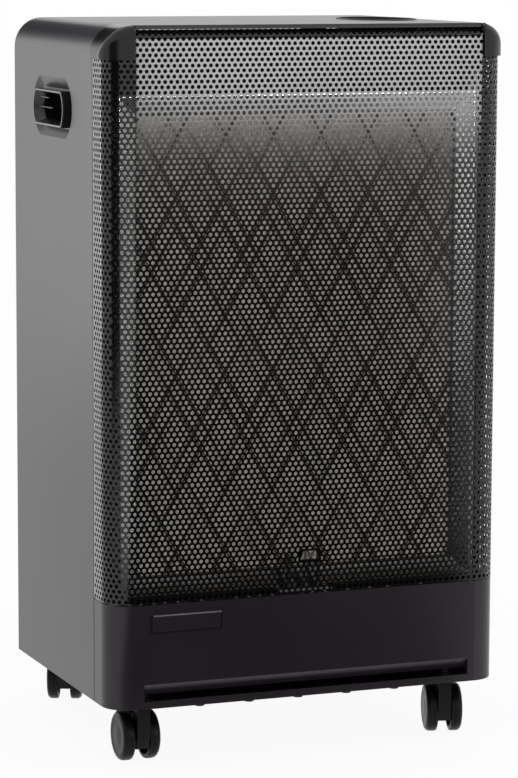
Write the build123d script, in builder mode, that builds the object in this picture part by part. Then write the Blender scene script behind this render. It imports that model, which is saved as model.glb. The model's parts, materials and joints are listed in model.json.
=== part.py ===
from build123d import *
from math import cos, radians, sin
import os

# Free-standing catalytic gas heater: steel cabinet on four castors.
# Millimetres. X to the right seen from the front, front face towards -Y, Z up, floor at Z = 0.
# The origin is on the floor, under the middle of the overall box.

os.makedirs("parts", exist_ok=True)

# ---------------------------------------------------------------- driving dimensions
WIDTH = 420.0  # over the side panels
HEIGHT = 733.0  # floor to top
DEPTH = 364.0  # corner caps to rear cover
CAP_PROUD = 2.8  # corner caps stand out this far from the sheet
SHEET = 1.0  # cabinet steel
GRILLE_SHEET = 0.8
CLEARANCE = 0.3  # between neighbouring fixed pieces
RUNNING = 0.05  # radial clearance of pins and shafts

PANEL_BOTTOM = 63.5  # lower edge of the cabinet panels
SEAM_SETBACK = 50.0  # front skin wraps this far round the sides
SEAM_GAP = 1.5  # shadow gap between the front skin and the side panels
SHELL_BACK = 304.0  # front face to the rear edge of the side panels
EDGE_RADIUS = 30.0  # long top edges
CORNER_RADIUS = 28.0  # vertical front corners
LIP_RADIUS = 4.0  # rolled front edge of the top
REAR_FLANGE = 12.0  # side panels folded in at the back
TOP_FLANGE = 10.0  # top folded down at the back

GRILLE_BOTTOM = 168.0
ROLL_RADIUS = 9.0  # grille rolled back under the top
WINDOW_WIDTH = 20.0  # pilot viewing window, at its foot
WINDOW_HEIGHT = 8.5
WINDOW_BOTTOM = 202.5

CAP_LENGTH = 26.0  # side panel to a cap's inner edge
CAP_HEIGHT = 33.0
CAP_WALL = 2.5
CAP_TUCK = 2.0  # grille reaches up behind the caps
CAP_FRONT_RADIUS = 12.0

SLOT_MARGIN = 35.0  # side panel to each end of the air slot
SLOT_TOP = 88.0
SLOT_MOUTH = 77.0  # top of the open slit
SLOT_BOTTOM = 71.0
SLOT_DEPTH = 7.0
HEM = 12.0  # fold along the panel's lower edge

BADGE_LENGTH = 74.0
BADGE_HEIGHT = 17.5
BADGE_THICKNESS = 1.6
BADGE_INSET = 79.0  # left side panel to the middle of the badge
BADGE_Z = 148.5

HANDLE_Y = 176.5  # front face to the middle of the handles
HANDLE_DROP = 86.0  # top to the middle of the handles
RECESS_FLAT = 81.0  # straight top and bottom of the pressed recess
RECESS_WIDTH = 128.0
RECESS_HEIGHT = 62.0
RECESS_DEPTH = 4.5
RECESS_LEDGE = 1.5  # flat floor of the recess left around the insert
INSERT_FLAT = 82.0
INSERT_WIDTH = 98.0
INSERT_HEIGHT = 36.5
INSERT_PROUD = 5.0  # rim of the insert, out from the side panel
INSERT_WALL = 2.0
INSERT_RIM = 2.0
INSERT_DROP = 1.0  # insert sits this much below the middle of the recess
CUP_DEPTH = 30.0  # rim to the back of the finger cup

TUB_INSET = 78.0  # right side panel to the middle of the control recess
TUB_Y = 150.0  # from the front face
TUB_RADIUS_X = 35.0
TUB_RADIUS_Y = 54.0
TUB_DEPTH = 20.0
TUB_WALL = 1.5
TUB_RIM = 3.0
TUB_RIM_PROUD = 1.2

KNOB_OFFSET = -22.0  # knob and button in front of and behind the middle of the tub
BUTTON_OFFSET = 27.0
KNOB_RADIUS = 19.0
KNOB_HEIGHT = 15.0
KNOB_SKIRT = 3.0
KNOB_LIFT = 4.5  # gap under the knob for the push
KNOB_GRIP = 9.0
SPINDLE_RADIUS = 3.0
BUTTON_RADIUS = 8.0
BUTTON_HEIGHT = 10.0
BUTTON_TRAVEL = 6.0
IGNITER_RADIUS = 10.5
IGNITER_LENGTH = 44.0

VALVE_LENGTH = 46.0
VALVE_WIDTH = 36.0
VALVE_HEIGHT = 38.0
VALVE_PLATE = 3.5
NOZZLE_RADIUS = 4.5
NOZZLE_LENGTH = 26.0
NOZZLE_HEX = 9.0
NOZZLE_HEX_HEIGHT = 8.0

SHIELD_Y = 70.0  # heat shield, from the front face
SHIELD_DROP = 17.0  # top to the shield's upper edge
SHIELD_FLANGE = 12.0
SOCKET_CUT = 60.5  # foot cut-outs, from the side panel inwards
SOCKET_CUT_ABOVE = 3.0
PIPE_CUT = 20.0  # top cut-outs, likewise
PIPE_CUT_BELOW = 10.0  # past the underside of the valve
PAD_SIDE = 39.0  # side panel to the visible part of the catalytic pad
PAD_DROP = 88.0  # top to the same part
PAD_BOTTOM = 188.0
PAD_Y = 40.2
PAD_THICKNESS = 7.8
BLANKET_THICKNESS = 6.0
DIFFUSER_THICKNESS = 1.2
PAD_COVERED = 3.5  # pad hidden behind the frame on each side
FRAME_BORDER = 18.5  # width of the reflector frame's face
FRAME_Y = 30.0
FRAME_DISH = 6.0  # the face leans back this far towards the pad
WIRE_RADIUS = 0.8
WIRE_PITCH = 44.1  # between pairs of guard wires, square to the wires
WIRE_PAIR = 14.7  # between the two wires of a pair
WIRE_ANGLE = 60.0  # from the horizontal
GUARD_DEPTH = 2.6  # of the surround
CASING_FOOT = 4.0
FOOT_RADIUS = 9.0
FOOT_INSET = 34.2  # edges of the visible pad to the feet
FOOT_DROP = 45.7
LEDGE = 1.5  # thickness of the ledge inside the casing
LEDGE_REACH = 8.0
DIFFUSER_PITCH = 40.0
DIFFUSER_HOLE = 3.0

PIPE_INSET = 10.0  # gas pipes run down inside the right side panel
LEAD_INSET = 3.7
FEED_RADIUS = 3.0
PILOT_PIPE_RADIUS = 2.0
LEAD_RADIUS = 1.2
FEED_Z = 230.0
BEND = 22.0
PILOT_Y = 22.0
PILOT_X = -14.0  # pilot, electrode and thermocouple side by side
ELECTRODE_X = 4.0
THERMO_X = 18.0
PILOT_RUN_Z = 104.0  # level runs of the pilot pipe and the two leads
IGNITION_RUN_Z = 118.0
THERMO_RUN_Z = 132.0
IGNITION_LEAD_DROP = 9.0  # below the floor of the control recess
LEAD_STUB = 3.0
BURNER_PORT_Y = 10.0  # ports of the valve, from its spindle and its underside
BURNER_PORT_Z = 12.0
PILOT_PORT_Y = -2.0
PILOT_PORT_Z = 24.0
THERMO_PORT_Y = -10.0
THERMO_PORT_Z = 6.0
PILOT_RUN_Y = 48.0  # upright runs, from the front face
THERMO_RUN_Y = 34.0
IGNITION_RUN_Y = 24.0
PILOT_TIP = 208.0
PILOT_PLATE = 1.5
PILOT_SHANK = 2.5
INJECTOR_RADIUS = 2.5
INJECTOR_LENGTH = 4.0
FEED_BLOCK = 12.0
FEED_SETBACK = 4.7  # injector line, behind the diffuser's ledge
PILOT_TAIL = 6.0  # shanks below the bracket
BRACKET_WIDTH = 56.0
BRACKET_DEPTH = 34.0
BRACKET_SETBACK = 8.0  # middle of the bracket, behind the pilot
PILOT_HEX = 5.5
PILOT_HEAD_RADIUS = 4.5
PILOT_HEAD_HEIGHT = 10.0
PILOT_HEAD_DROP = 4.0  # top of the head, below the tips of its neighbours
ELECTRODE_RADIUS = 1.0
ELECTRODE_LENGTH = 20.0
ELECTRODE_COLLAR = 4.0
THERMO_RADIUS = 2.0
NUT_HEIGHT = 4.0

TRAY_SHEET = 1.2
TRAY_UPSTAND = 18.0
TRAY_OVERLAP = 20.0  # tapered rear part runs this far into the full width
RIB_PITCH = 53.0
RIB_WIDTH = 16.0
RIB_DEPTH = 9.0
RIB_TAPER = 20.0
RIB_COUNT = 5
RIB_START = 22.0  # from the front face
RIB_LENGTH = 290.0

COVER_INSET = 14.5  # side panel to the rear cover
COVER_TAPER = 8.5  # each side leans in this much towards the back
COVER_CORNER = 22.0
COVER_TUCK = 8.0  # cover reaches this far into the cabinet
COVER_DROP = 14.0  # top of the cabinet to the top of the cover
COVER_SLOPE = 29.0
COVER_BOTTOM = 70.0
HINGE_Z = 66.0
HINGE_INSET = 9.0  # hinge line, in front of the cover's back
HINGE_PIN_RADIUS = 2.5
HINGE_MARGIN = 57.0  # side of the cover to each hinge
HINGE_WIDTH = 24.0
HINGE_EAR = 2.0
HINGE_EAR_RADIUS = 4.5
HINGE_EAR_REACH = 6.0  # tray edge to hinge line
HINGE_LEAF = 12.0
COVER_FLANGE = 14.0
TRAY_TO_COVER = 3.0
MAGNET_MARGIN = 75.5
MAGNET_WIDTH = 24.0
MAGNET_DEPTH = 12.0
MAGNET_DROP = 26.0
LOUVRE_MARGIN = 75.0
LOUVRE_LENGTH = 90.0
LOUVRE_HEIGHT = 5.0
LOUVRE_PITCH = 22.0
LOUVRE_ROWS = 6

WHEEL_RADIUS = 25.0
WHEEL_WIDTH = 12.0
WHEEL_GAP = 15.0  # between the two wheels of a castor
WHEEL_RIM = 4.5
WHEEL_FACE = 3.0  # outer side wall
WHEEL_DOME = 5.0
HUB_RADIUS = 7.0
TRAIL = 20.0  # stem to axle
AXLE_RADIUS = 3.0
WEB = 13.5  # hood between the wheels
WEB_BOTTOM = 15.0
HOOD_WIDTH = 28.0
HOOD_WALL = 1.8
HOOD_GAP = 1.2
FENDER_START = -22.0  # degrees above the axle, on the trailing side
FENDER_SWEEP = 77.0
WEB_RADIUS = 24.0
WEB_TOP = 45.0
BOSS_RADIUS = 6.5
BOSS_BOTTOM = 47.0
BOSS_TOP = 62.5
STEM_RADIUS = 4.0
SOCKET_RADIUS = 7.0
SOCKET_TOP = 84.0
SOCKET_ROOF = 2.0
SOCKET_FLANGE = 5.0
FRONT_STEM_INSET = 44.6  # side panel to the stems
FRONT_STEM_Y = 35.0  # from the front face
REAR_STEM_INSET = 51.0
REAR_STEM_Y = 308.0
CASTOR_HEADINGS = {  # degrees from "wheels trail to the rear", anticlockwise from above
    "front_left": -0.5,
    "front_right": -17.5,
    "rear_left": -24.5,
    "rear_right": 14.0,
}

# ---------------------------------------------------------------- places worked out from them
HALF = WIDTH / 2
FRONT = -DEPTH / 2 + CAP_PROUD
BACK = DEPTH / 2
SEAM = FRONT + SEAM_SETBACK
SHELL_FRONT = SEAM + SEAM_GAP
SHELL_REAR = FRONT + SHELL_BACK
INNER = HALF - SHEET
CAP_HALF_WIDTH = HALF - CAP_LENGTH
CAP_BOTTOM = HEIGHT - CAP_HEIGHT
SLOT_LENGTH = WIDTH - 2 * SLOT_MARGIN
BADGE_X = BADGE_INSET - HALF
HANDLE_Z = HEIGHT - HANDLE_DROP
TUB_X = HALF - TUB_INSET
TRAY_BOTTOM = PANEL_BOTTOM + SHEET
TRAY_FLOOR = TRAY_BOTTOM + TRAY_SHEET
SHIELD_FRONT = FRONT + SHIELD_Y
SHIELD_TOP = HEIGHT - SHIELD_DROP
PAD_WIDTH = WIDTH - 2 * PAD_SIDE
PAD_HEIGHT = HEIGHT - PAD_DROP - PAD_BOTTOM
PAD_MIDDLE = PAD_BOTTOM + PAD_HEIGHT / 2
FRAME_WIDTH = PAD_WIDTH + 2 * FRAME_BORDER
FRAME_HEIGHT = PAD_HEIGHT + 2 * FRAME_BORDER
FRAME_BOTTOM = PAD_MIDDLE - FRAME_HEIGHT / 2
TUB_FLOOR = HEIGHT - TUB_DEPTH
KNOB_Y = FRONT + TUB_Y + KNOB_OFFSET
BUTTON_Y = FRONT + TUB_Y + BUTTON_OFFSET
VALVE_TOP = TUB_FLOOR - TUB_WALL - VALVE_PLATE
VALVE_BOTTOM = VALVE_TOP - VALVE_HEIGHT
VALVE_SIDE = TUB_X + VALVE_LENGTH / 2
PIPE_X = INNER - PIPE_INSET
LEAD_X = INNER - LEAD_INSET
IGNITION_LEAD_Z = TUB_FLOOR - IGNITION_LEAD_DROP
KNOB_BOTTOM = TUB_FLOOR + KNOB_LIFT
SPINDLE_FOOT = VALVE_TOP - VALVE_HEIGHT / 2 + KNOB_LIFT
HINGE_Y = BACK - HINGE_INSET
CASING_Y = FRONT + PAD_Y
BLANKET_Y = CASING_Y + PAD_THICKNESS
DIFFUSER_Y = BLANKET_Y + BLANKET_THICKNESS
LEDGE_Y = DIFFUSER_Y + DIFFUSER_THICKNESS + CLEARANCE
CASING_BACK = SHIELD_FRONT - CASING_FOOT
CASING_INSIDE_WIDTH = PAD_WIDTH + 2 * PAD_COVERED
CASING_INSIDE_HEIGHT = PAD_HEIGHT + 2 * PAD_COVERED
CASING_SIDE = CASING_INSIDE_WIDTH / 2 + SHEET
FOOT_SPACING_X = PAD_WIDTH - 2 * FOOT_INSET
FOOT_SPACING_Z = PAD_HEIGHT - 2 * FOOT_DROP
FRAME_LIP = FRONT + FRAME_Y + FRAME_DISH
GUARD_WIDTH = PAD_WIDTH - 3 * WIRE_RADIUS
GUARD_HEIGHT = PAD_HEIGHT - 3 * WIRE_RADIUS
GUARD_BAR = 4 * WIRE_RADIUS
FEED_Y = LEDGE_Y + FEED_SETBACK
PILOT_FOOT = FRAME_BOTTOM - PILOT_PLATE - PILOT_TAIL
PILOT_DEPTH = FRONT + PILOT_Y
TRAY_STEP = SHELL_REAR - SHEET - CLEARANCE
TRAY_REAR = HINGE_Y - HINGE_EAR_REACH
COVER_FRONT = SHELL_REAR - COVER_TUCK
COVER_HALF_FRONT = HALF - COVER_INSET
COVER_HALF_REAR = COVER_HALF_FRONT - COVER_TAPER
COVER_TOP_FRONT = HEIGHT - COVER_DROP
COVER_TOP_REAR = COVER_TOP_FRONT - COVER_SLOPE
HINGE_SPAN = COVER_HALF_REAR - HINGE_MARGIN
MAGNET_SPAN = COVER_HALF_FRONT - MAGNET_MARGIN
AXLE_REACH = WHEEL_GAP / 2 + WHEEL_WIDTH - WHEEL_FACE - CLEARANCE
STEM_FOOT = WHEEL_RADIUS * 2
FENDER_INSIDE = WHEEL_RADIUS + HOOD_GAP
FENDER_OUTSIDE = FENDER_INSIDE + HOOD_WALL
FRONT_STEM_X = HALF - FRONT_STEM_INSET
REAR_STEM_X = HALF - REAR_STEM_INSET
STEMS = {
    "front_left": (-FRONT_STEM_X, FRONT + FRONT_STEM_Y),
    "front_right": (FRONT_STEM_X, FRONT + FRONT_STEM_Y),
    "rear_left": (-REAR_STEM_X, FRONT + REAR_STEM_Y),
    "rear_right": (REAR_STEM_X, FRONT + REAR_STEM_Y),
}


def save(builder, name):
    builder.part.label = name
    export_step(builder.part, f"parts/{name}.step")


def at_y(y):
    """Upright plane facing the front, at depth y."""
    return Plane.XZ.offset(-y)


def barrel_outline(flat, width, height):
    """Straight top and bottom, bowed ends."""
    with BuildLine() as outline:
        Line((-flat / 2, height / 2), (flat / 2, height / 2))
        ThreePointArc((flat / 2, height / 2), (width / 2, 0), (flat / 2, -height / 2))
        Line((flat / 2, -height / 2), (-flat / 2, -height / 2))
        ThreePointArc((-flat / 2, -height / 2), (-width / 2, 0), (-flat / 2, height / 2))
    return outline.line


def front_plan(inset):
    """Plan of the cabinet's front, rounded at both corners, set in from the skin's outside."""
    with BuildSketch() as plan:
        with Locations((0, (FRONT + inset + SEAM) / 2)):
            Rectangle(2 * (HALF - inset), SEAM - FRONT - inset)
        fillet(plan.vertices().group_by(Axis.Y)[0], CORNER_RADIUS - inset)
    return plan.sketch


def wrap_plan(thickness):
    """Plan of a skin round the two front corners, from seam to seam."""
    with BuildSketch() as plan:
        add(front_plan(0))
        add(front_plan(thickness), mode=Mode.SUBTRACT)
    return plan.sketch


# ---------------------------------------------------------------- cabinet shell
with BuildPart() as cabinet_shell:
    with BuildSketch(at_y(SHELL_FRONT)) as arch:
        with Locations((0, (HEIGHT + PANEL_BOTTOM) / 2)):
            Rectangle(WIDTH, HEIGHT - PANEL_BOTTOM)
        fillet(arch.vertices().group_by(Axis.Y)[-1], EDGE_RADIUS)
    extrude(amount=-(SHELL_REAR - SHELL_FRONT))
    with BuildSketch(at_y(SHELL_FRONT)) as arch_inside:
        with Locations((0, (HEIGHT - SHEET) / 2)):
            Rectangle(2 * INNER, HEIGHT - SHEET)
        fillet(arch_inside.vertices().group_by(Axis.Y)[-1], EDGE_RADIUS - SHEET)
    extrude(amount=-(SHELL_REAR - SHELL_FRONT), mode=Mode.SUBTRACT)
    # folds along the rear edges
    with BuildSketch(at_y(SHELL_REAR - SHEET)) as rear_fold:
        with Locations((0, (HEIGHT + PANEL_BOTTOM) / 2)):
            Rectangle(WIDTH, HEIGHT - PANEL_BOTTOM)
        fillet(rear_fold.vertices().group_by(Axis.Y)[-1], EDGE_RADIUS)
        with Locations((0, (HEIGHT - TOP_FLANGE) / 2)):
            Rectangle(2 * (HALF - REAR_FLANGE), HEIGHT - TOP_FLANGE, mode=Mode.SUBTRACT)
    extrude(amount=-SHEET)
    # top carried forward between the corner caps, with a rolled front lip
    with BuildSketch(Plane.YZ.offset(-CAP_HALF_WIDTH)) as top_front:
        with BuildLine():
            Line((SHELL_FRONT, HEIGHT), (FRONT + LIP_RADIUS, HEIGHT))
            RadiusArc((FRONT + LIP_RADIUS, HEIGHT), (FRONT, HEIGHT - LIP_RADIUS), LIP_RADIUS)
            Line((FRONT, HEIGHT - LIP_RADIUS), (FRONT + SHEET, HEIGHT - LIP_RADIUS))
            RadiusArc(
                (FRONT + SHEET, HEIGHT - LIP_RADIUS),
                (FRONT + LIP_RADIUS, HEIGHT - SHEET),
                -(LIP_RADIUS - SHEET),
            )
            Line((FRONT + LIP_RADIUS, HEIGHT - SHEET), (SHELL_FRONT, HEIGHT - SHEET))
            Line((SHELL_FRONT, HEIGHT - SHEET), (SHELL_FRONT, HEIGHT))
        make_face()
    extrude(amount=2 * CAP_HALF_WIDTH)
    # control recess opening
    with BuildSketch(Plane.XY.offset(HEIGHT - 2 * SHEET)):
        with Locations((TUB_X, FRONT + TUB_Y)):
            Ellipse(TUB_RADIUS_X + TUB_WALL + CLEARANCE, TUB_RADIUS_Y + TUB_WALL + CLEARANCE)
    extrude(amount=3 * SHEET, mode=Mode.SUBTRACT)
    # pressed handle recesses, one in each side
    for side in (-1, 1):
        face = Plane(
            origin=(side * HALF, FRONT + HANDLE_Y, HANDLE_Z), x_dir=(0, -side, 0), z_dir=(-side, 0, 0)
        )
        seat = face.shift_origin(face.origin - Vector(0, 0, INSERT_DROP))
        floor_width = INSERT_WIDTH + 2 * RECESS_LEDGE
        floor_height = INSERT_HEIGHT + 2 * RECESS_LEDGE
        with BuildSketch(face):
            make_face(barrel_outline(RECESS_FLAT, RECESS_WIDTH, RECESS_HEIGHT))
        with BuildSketch(seat.offset(RECESS_DEPTH + SHEET)):
            make_face(
                barrel_outline(INSERT_FLAT + 2 * SHEET, floor_width + 3 * SHEET, floor_height + 2 * SHEET)
            )
        loft()
        with BuildSketch(face):
            make_face(
                barrel_outline(RECESS_FLAT - 2 * SHEET, RECESS_WIDTH - 3 * SHEET, RECESS_HEIGHT - 2 * SHEET)
            )
        with BuildSketch(seat.offset(RECESS_DEPTH)):
            make_face(barrel_outline(INSERT_FLAT, floor_width, floor_height))
        loft(mode=Mode.SUBTRACT)
        with BuildSketch(seat):
            make_face(
                barrel_outline(
                    INSERT_FLAT - 6 * INSERT_WALL + 2 * CLEARANCE,
                    INSERT_WIDTH - 6 * INSERT_WALL + 2 * CLEARANCE,
                    INSERT_HEIGHT - 4 * INSERT_WALL + 2 * CLEARANCE,
                )
            )
        extrude(amount=RECESS_DEPTH + 2 * SHEET, mode=Mode.SUBTRACT)
save(cabinet_shell, "cabinet_shell")


# ---------------------------------------------------------------- front skins
with BuildPart() as front_grille:
    with BuildSketch(Plane.XY.offset(GRILLE_BOTTOM)):
        add(wrap_plan(GRILLE_SHEET))
    extrude(amount=CAP_BOTTOM + CAP_TUCK - GRILLE_BOTTOM)
    # narrower top between the corner caps, rolled back under the cabinet's lip
    roll_top = HEIGHT - LIP_RADIUS - CLEARANCE
    roll_start = roll_top - ROLL_RADIUS
    with BuildSketch(Plane.YZ.offset(-CAP_HALF_WIDTH - CLEARANCE)):
        with BuildLine():
            Line((FRONT, CAP_BOTTOM - 2 * CLEARANCE), (FRONT, roll_start))
            RadiusArc((FRONT, roll_start), (FRONT + ROLL_RADIUS, roll_top), -ROLL_RADIUS)
            Line((FRONT + ROLL_RADIUS, roll_top), (FRONT + ROLL_RADIUS, roll_top - GRILLE_SHEET))
            RadiusArc(
                (FRONT + ROLL_RADIUS, roll_top - GRILLE_SHEET),
                (FRONT + GRILLE_SHEET, roll_start),
                ROLL_RADIUS - GRILLE_SHEET,
            )
            Line((FRONT + GRILLE_SHEET, roll_start), (FRONT + GRILLE_SHEET, CAP_BOTTOM - 2 * CLEARANCE))
            Line((FRONT + GRILLE_SHEET, CAP_BOTTOM - 2 * CLEARANCE), (FRONT, CAP_BOTTOM - 2 * CLEARANCE))
        make_face()
    extrude(amount=2 * (CAP_HALF_WIDTH + CLEARANCE))
    # pilot viewing window
    with BuildSketch(at_y(FRONT - SHEET)):
        with Locations((0, WINDOW_BOTTOM + WINDOW_HEIGHT / 2)):
            Trapezoid(WINDOW_WIDTH, WINDOW_HEIGHT, 65)
    extrude(amount=-3 * SHEET, mode=Mode.SUBTRACT)
save(front_grille, "front_grille")

with BuildPart() as lower_front_panel:
    with BuildSketch(Plane.XY.offset(PANEL_BOTTOM)):
        add(wrap_plan(SHEET))
    extrude(amount=GRILLE_BOTTOM - CLEARANCE - PANEL_BOTTOM)
    # hem folded in along the lower edge
    with BuildSketch(Plane.XY.offset(PANEL_BOTTOM)):
        add(wrap_plan(HEM))
    extrude(amount=SHEET)
    # pressed air slot: the face leans in above an open slit
    with BuildSketch(at_y(FRONT - SHEET)):
        with Locations((0, (SLOT_TOP + SLOT_BOTTOM) / 2)):
            Rectangle(SLOT_LENGTH, SLOT_TOP - SLOT_BOTTOM)
    extrude(amount=-3 * SHEET, mode=Mode.SUBTRACT)
    with BuildSketch(Plane.YZ.offset(-SLOT_LENGTH / 2)):
        with BuildLine():
            Polyline(
                (FRONT, SLOT_TOP),
                (FRONT + SLOT_DEPTH, SLOT_MOUTH),
                (FRONT + SLOT_DEPTH, SLOT_MOUTH + 1.5 * SHEET),
                (FRONT + SHEET, SLOT_TOP + SHEET),
                (FRONT, SLOT_TOP + SHEET),
                close=True,
            )
        make_face()
    extrude(amount=SLOT_LENGTH)
    # end cheeks of the slot
    for side in (-1, 1):
        with BuildSketch(Plane.YZ.offset(side * (SLOT_LENGTH + SHEET) / 2)):
            with Locations((FRONT + SLOT_DEPTH / 2, (SLOT_BOTTOM + SLOT_TOP + SHEET) / 2)):
                Rectangle(SLOT_DEPTH, SLOT_TOP + SHEET - SLOT_BOTTOM)
        extrude(amount=SHEET / 2, both=True)
save(lower_front_panel, "lower_front_panel")

with BuildPart() as badge_plate:
    with BuildSketch(at_y(FRONT)):
        with Locations((BADGE_X, BADGE_Z)):
            RectangleRounded(BADGE_LENGTH, BADGE_HEIGHT, 2.0)
    extrude(amount=BADGE_THICKNESS)
    fillet(badge_plate.faces().sort_by(Axis.Y)[0].edges(), 0.6)
save(badge_plate, "badge_plate")

# ---------------------------------------------------------------- corner caps
def rounded_front_block(inset):
    """The cabinet's upper front with all its edges rounded, as proud as the caps less the inset."""
    half = HALF + CAP_PROUD - inset
    front = FRONT - CAP_PROUD + inset
    top = HEIGHT - inset
    with BuildPart() as block:
        with BuildSketch(Plane.XY.offset(CAP_BOTTOM - EDGE_RADIUS)):
            with Locations((0, (front + SEAM) / 2)):
                Rectangle(2 * half, SEAM - front)
        extrude(amount=top - CAP_BOTTOM + EDGE_RADIUS)
        uprights = block.edges().filter_by(Axis.Z).group_by(Axis.Y)[0]
        top_sides = block.edges().filter_by(Axis.Y).group_by(Axis.Z)[-1]
        fillet(uprights + top_sides, EDGE_RADIUS - inset)
        fillet(block.edges().group_by(Axis.Y)[0].group_by(Axis.Z)[-1], CAP_FRONT_RADIUS - inset)
    return block.part


cap_outside = rounded_front_block(0)
cap_inside = rounded_front_block(CAP_WALL)
for side, name in ((-1, "corner_cap_left"), (1, "corner_cap_right")):
    with BuildPart() as corner_cap:
        with BuildSketch(Plane.XY.offset(CAP_BOTTOM)):
            with Locations((side * (CAP_HALF_WIDTH + HALF) / 2, (FRONT + SEAM) / 2)):
                Rectangle(HALF - CAP_HALF_WIDTH, SEAM - FRONT + 4 * CAP_PROUD)
            with Locations((side * HALF, (FRONT + SEAM) / 2)):
                Rectangle(4 * CAP_PROUD, SEAM - FRONT + 4 * CAP_PROUD)
        extrude(amount=HEIGHT - CAP_BOTTOM)
        add(cap_outside, mode=Mode.INTERSECT)
        add(cap_inside, mode=Mode.SUBTRACT)
    save(corner_cap, name)

# ---------------------------------------------------------------- handle inserts
for side, name in ((-1, "handle_insert_left"), (1, "handle_insert_right")):
    rim_face = Plane(
        origin=(side * (HALF + INSERT_PROUD), FRONT + HANDLE_Y, HANDLE_Z - INSERT_DROP),
        x_dir=(0, -side, 0),
        z_dir=(-side, 0, 0),
    )
    rim_height = INSERT_PROUD + RECESS_DEPTH
    with BuildPart() as handle_insert:
        with BuildSketch(rim_face):
            make_face(barrel_outline(INSERT_FLAT, INSERT_WIDTH, INSERT_HEIGHT))
        extrude(amount=rim_height)
        fillet(handle_insert.faces().sort_by(Axis((0, 0, 0), (side, 0, 0)))[-1].edges(), 0.8)
        with BuildSketch(rim_face):
            make_face(
                barrel_outline(
                    INSERT_FLAT - 6 * INSERT_WALL,
                    INSERT_WIDTH - 6 * INSERT_WALL,
                    INSERT_HEIGHT - 4 * INSERT_WALL,
                )
            )
        extrude(amount=CUP_DEPTH)
        # finger cup, and the funnel that opens it towards the rim
        cup_outline = barrel_outline(
            INSERT_FLAT - 8 * INSERT_WALL, INSERT_WIDTH - 8 * INSERT_WALL, INSERT_HEIGHT - 6 * INSERT_WALL
        )
        with BuildSketch(rim_face):
            make_face(cup_outline)
        extrude(amount=CUP_DEPTH - INSERT_WALL, mode=Mode.SUBTRACT)
        with BuildSketch(rim_face):
            make_face(
                barrel_outline(
                    INSERT_FLAT - 2 * INSERT_RIM,
                    INSERT_WIDTH - 2 * INSERT_RIM,
                    INSERT_HEIGHT - 2 * INSERT_RIM,
                )
            )
        with BuildSketch(rim_face.offset(rim_height)):
            make_face(cup_outline)
        loft(mode=Mode.SUBTRACT)
    save(handle_insert, name)

# ---------------------------------------------------------------- control recess, knob and button
with BuildPart() as control_tub:
    with BuildSketch(Plane.XY.offset(TUB_FLOOR - TUB_WALL)):
        with Locations((TUB_X, FRONT + TUB_Y)):
            Ellipse(TUB_RADIUS_X + TUB_WALL, TUB_RADIUS_Y + TUB_WALL)
    extrude(amount=TUB_DEPTH + TUB_WALL)
    with BuildSketch(Plane.XY.offset(HEIGHT)):
        with Locations((TUB_X, FRONT + TUB_Y)):
            Ellipse(TUB_RADIUS_X + TUB_RIM, TUB_RADIUS_Y + TUB_RIM)
    extrude(amount=TUB_RIM_PROUD)
    with BuildSketch(Plane.XY.offset(TUB_FLOOR)):
        with Locations((TUB_X, FRONT + TUB_Y)):
            Ellipse(TUB_RADIUS_X, TUB_RADIUS_Y)
    extrude(amount=TUB_DEPTH + TUB_RIM_PROUD, mode=Mode.SUBTRACT)
    with BuildSketch(Plane.XY.offset(TUB_FLOOR - TUB_WALL)):
        with Locations((TUB_X, KNOB_Y)):
            Circle(SPINDLE_RADIUS + 2 * CLEARANCE)
        with Locations((TUB_X, BUTTON_Y)):
            Circle(BUTTON_RADIUS + RUNNING)
    extrude(amount=TUB_WALL, mode=Mode.SUBTRACT)
    fillet(control_tub.edges().group_by(Axis.Z)[-1].sort_by(Edge.length)[-1], 0.8)
save(control_tub, "control_tub")

with BuildPart() as valve_plate:
    with BuildSketch(Plane.XY.offset(VALVE_TOP)):
        with Locations((TUB_X, KNOB_Y)):
            Rectangle(VALVE_LENGTH, VALVE_WIDTH)
            Circle(SPINDLE_RADIUS + 2 * CLEARANCE, mode=Mode.SUBTRACT)
    extrude(amount=VALVE_PLATE)
save(valve_plate, "valve_plate")

with BuildPart() as gas_valve:
    with BuildSketch(Plane.XY.offset(VALVE_BOTTOM)):
        with Locations((TUB_X, KNOB_Y)):
            Rectangle(VALVE_LENGTH, VALVE_WIDTH)
    extrude(amount=VALVE_HEIGHT)
    fillet(gas_valve.edges().filter_by(Axis.Z), 3.0)
    # magnet unit and outlet bosses
    with BuildSketch(Plane.YZ.offset(TUB_X - VALVE_LENGTH / 2)):
        with Locations((KNOB_Y, VALVE_BOTTOM + VALVE_HEIGHT / 2)):
            Circle(VALVE_WIDTH / 3)
    extrude(amount=-VALVE_LENGTH / 3)
    with BuildSketch(Plane.XY.offset(VALVE_TOP)):
        with Locations((TUB_X, KNOB_Y)):
            Circle(SPINDLE_RADIUS + RUNNING)
    extrude(amount=-VALVE_HEIGHT / 2, mode=Mode.SUBTRACT)
save(gas_valve, "gas_valve")

with BuildPart() as hose_nozzle:
    with BuildSketch(Plane.XY.offset(VALVE_BOTTOM)):
        with Locations((TUB_X, KNOB_Y)):
            RegularPolygon(NOZZLE_HEX, 6)
    extrude(amount=-NOZZLE_HEX_HEIGHT)
    with BuildSketch(Plane.XY.offset(VALVE_BOTTOM - NOZZLE_HEX_HEIGHT)):
        with Locations((TUB_X, KNOB_Y)):
            Circle(NOZZLE_RADIUS)
    extrude(amount=-NOZZLE_LENGTH)
    chamfer(hose_nozzle.edges().sort_by(Axis.Z)[0], 1.0)
    with BuildSketch(Plane.XY.offset(VALVE_BOTTOM)):
        with Locations((TUB_X, KNOB_Y)):
            Circle(NOZZLE_RADIUS / 2)
    extrude(amount=-NOZZLE_HEX_HEIGHT - NOZZLE_LENGTH, mode=Mode.SUBTRACT)
save(hose_nozzle, "hose_nozzle")

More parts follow.
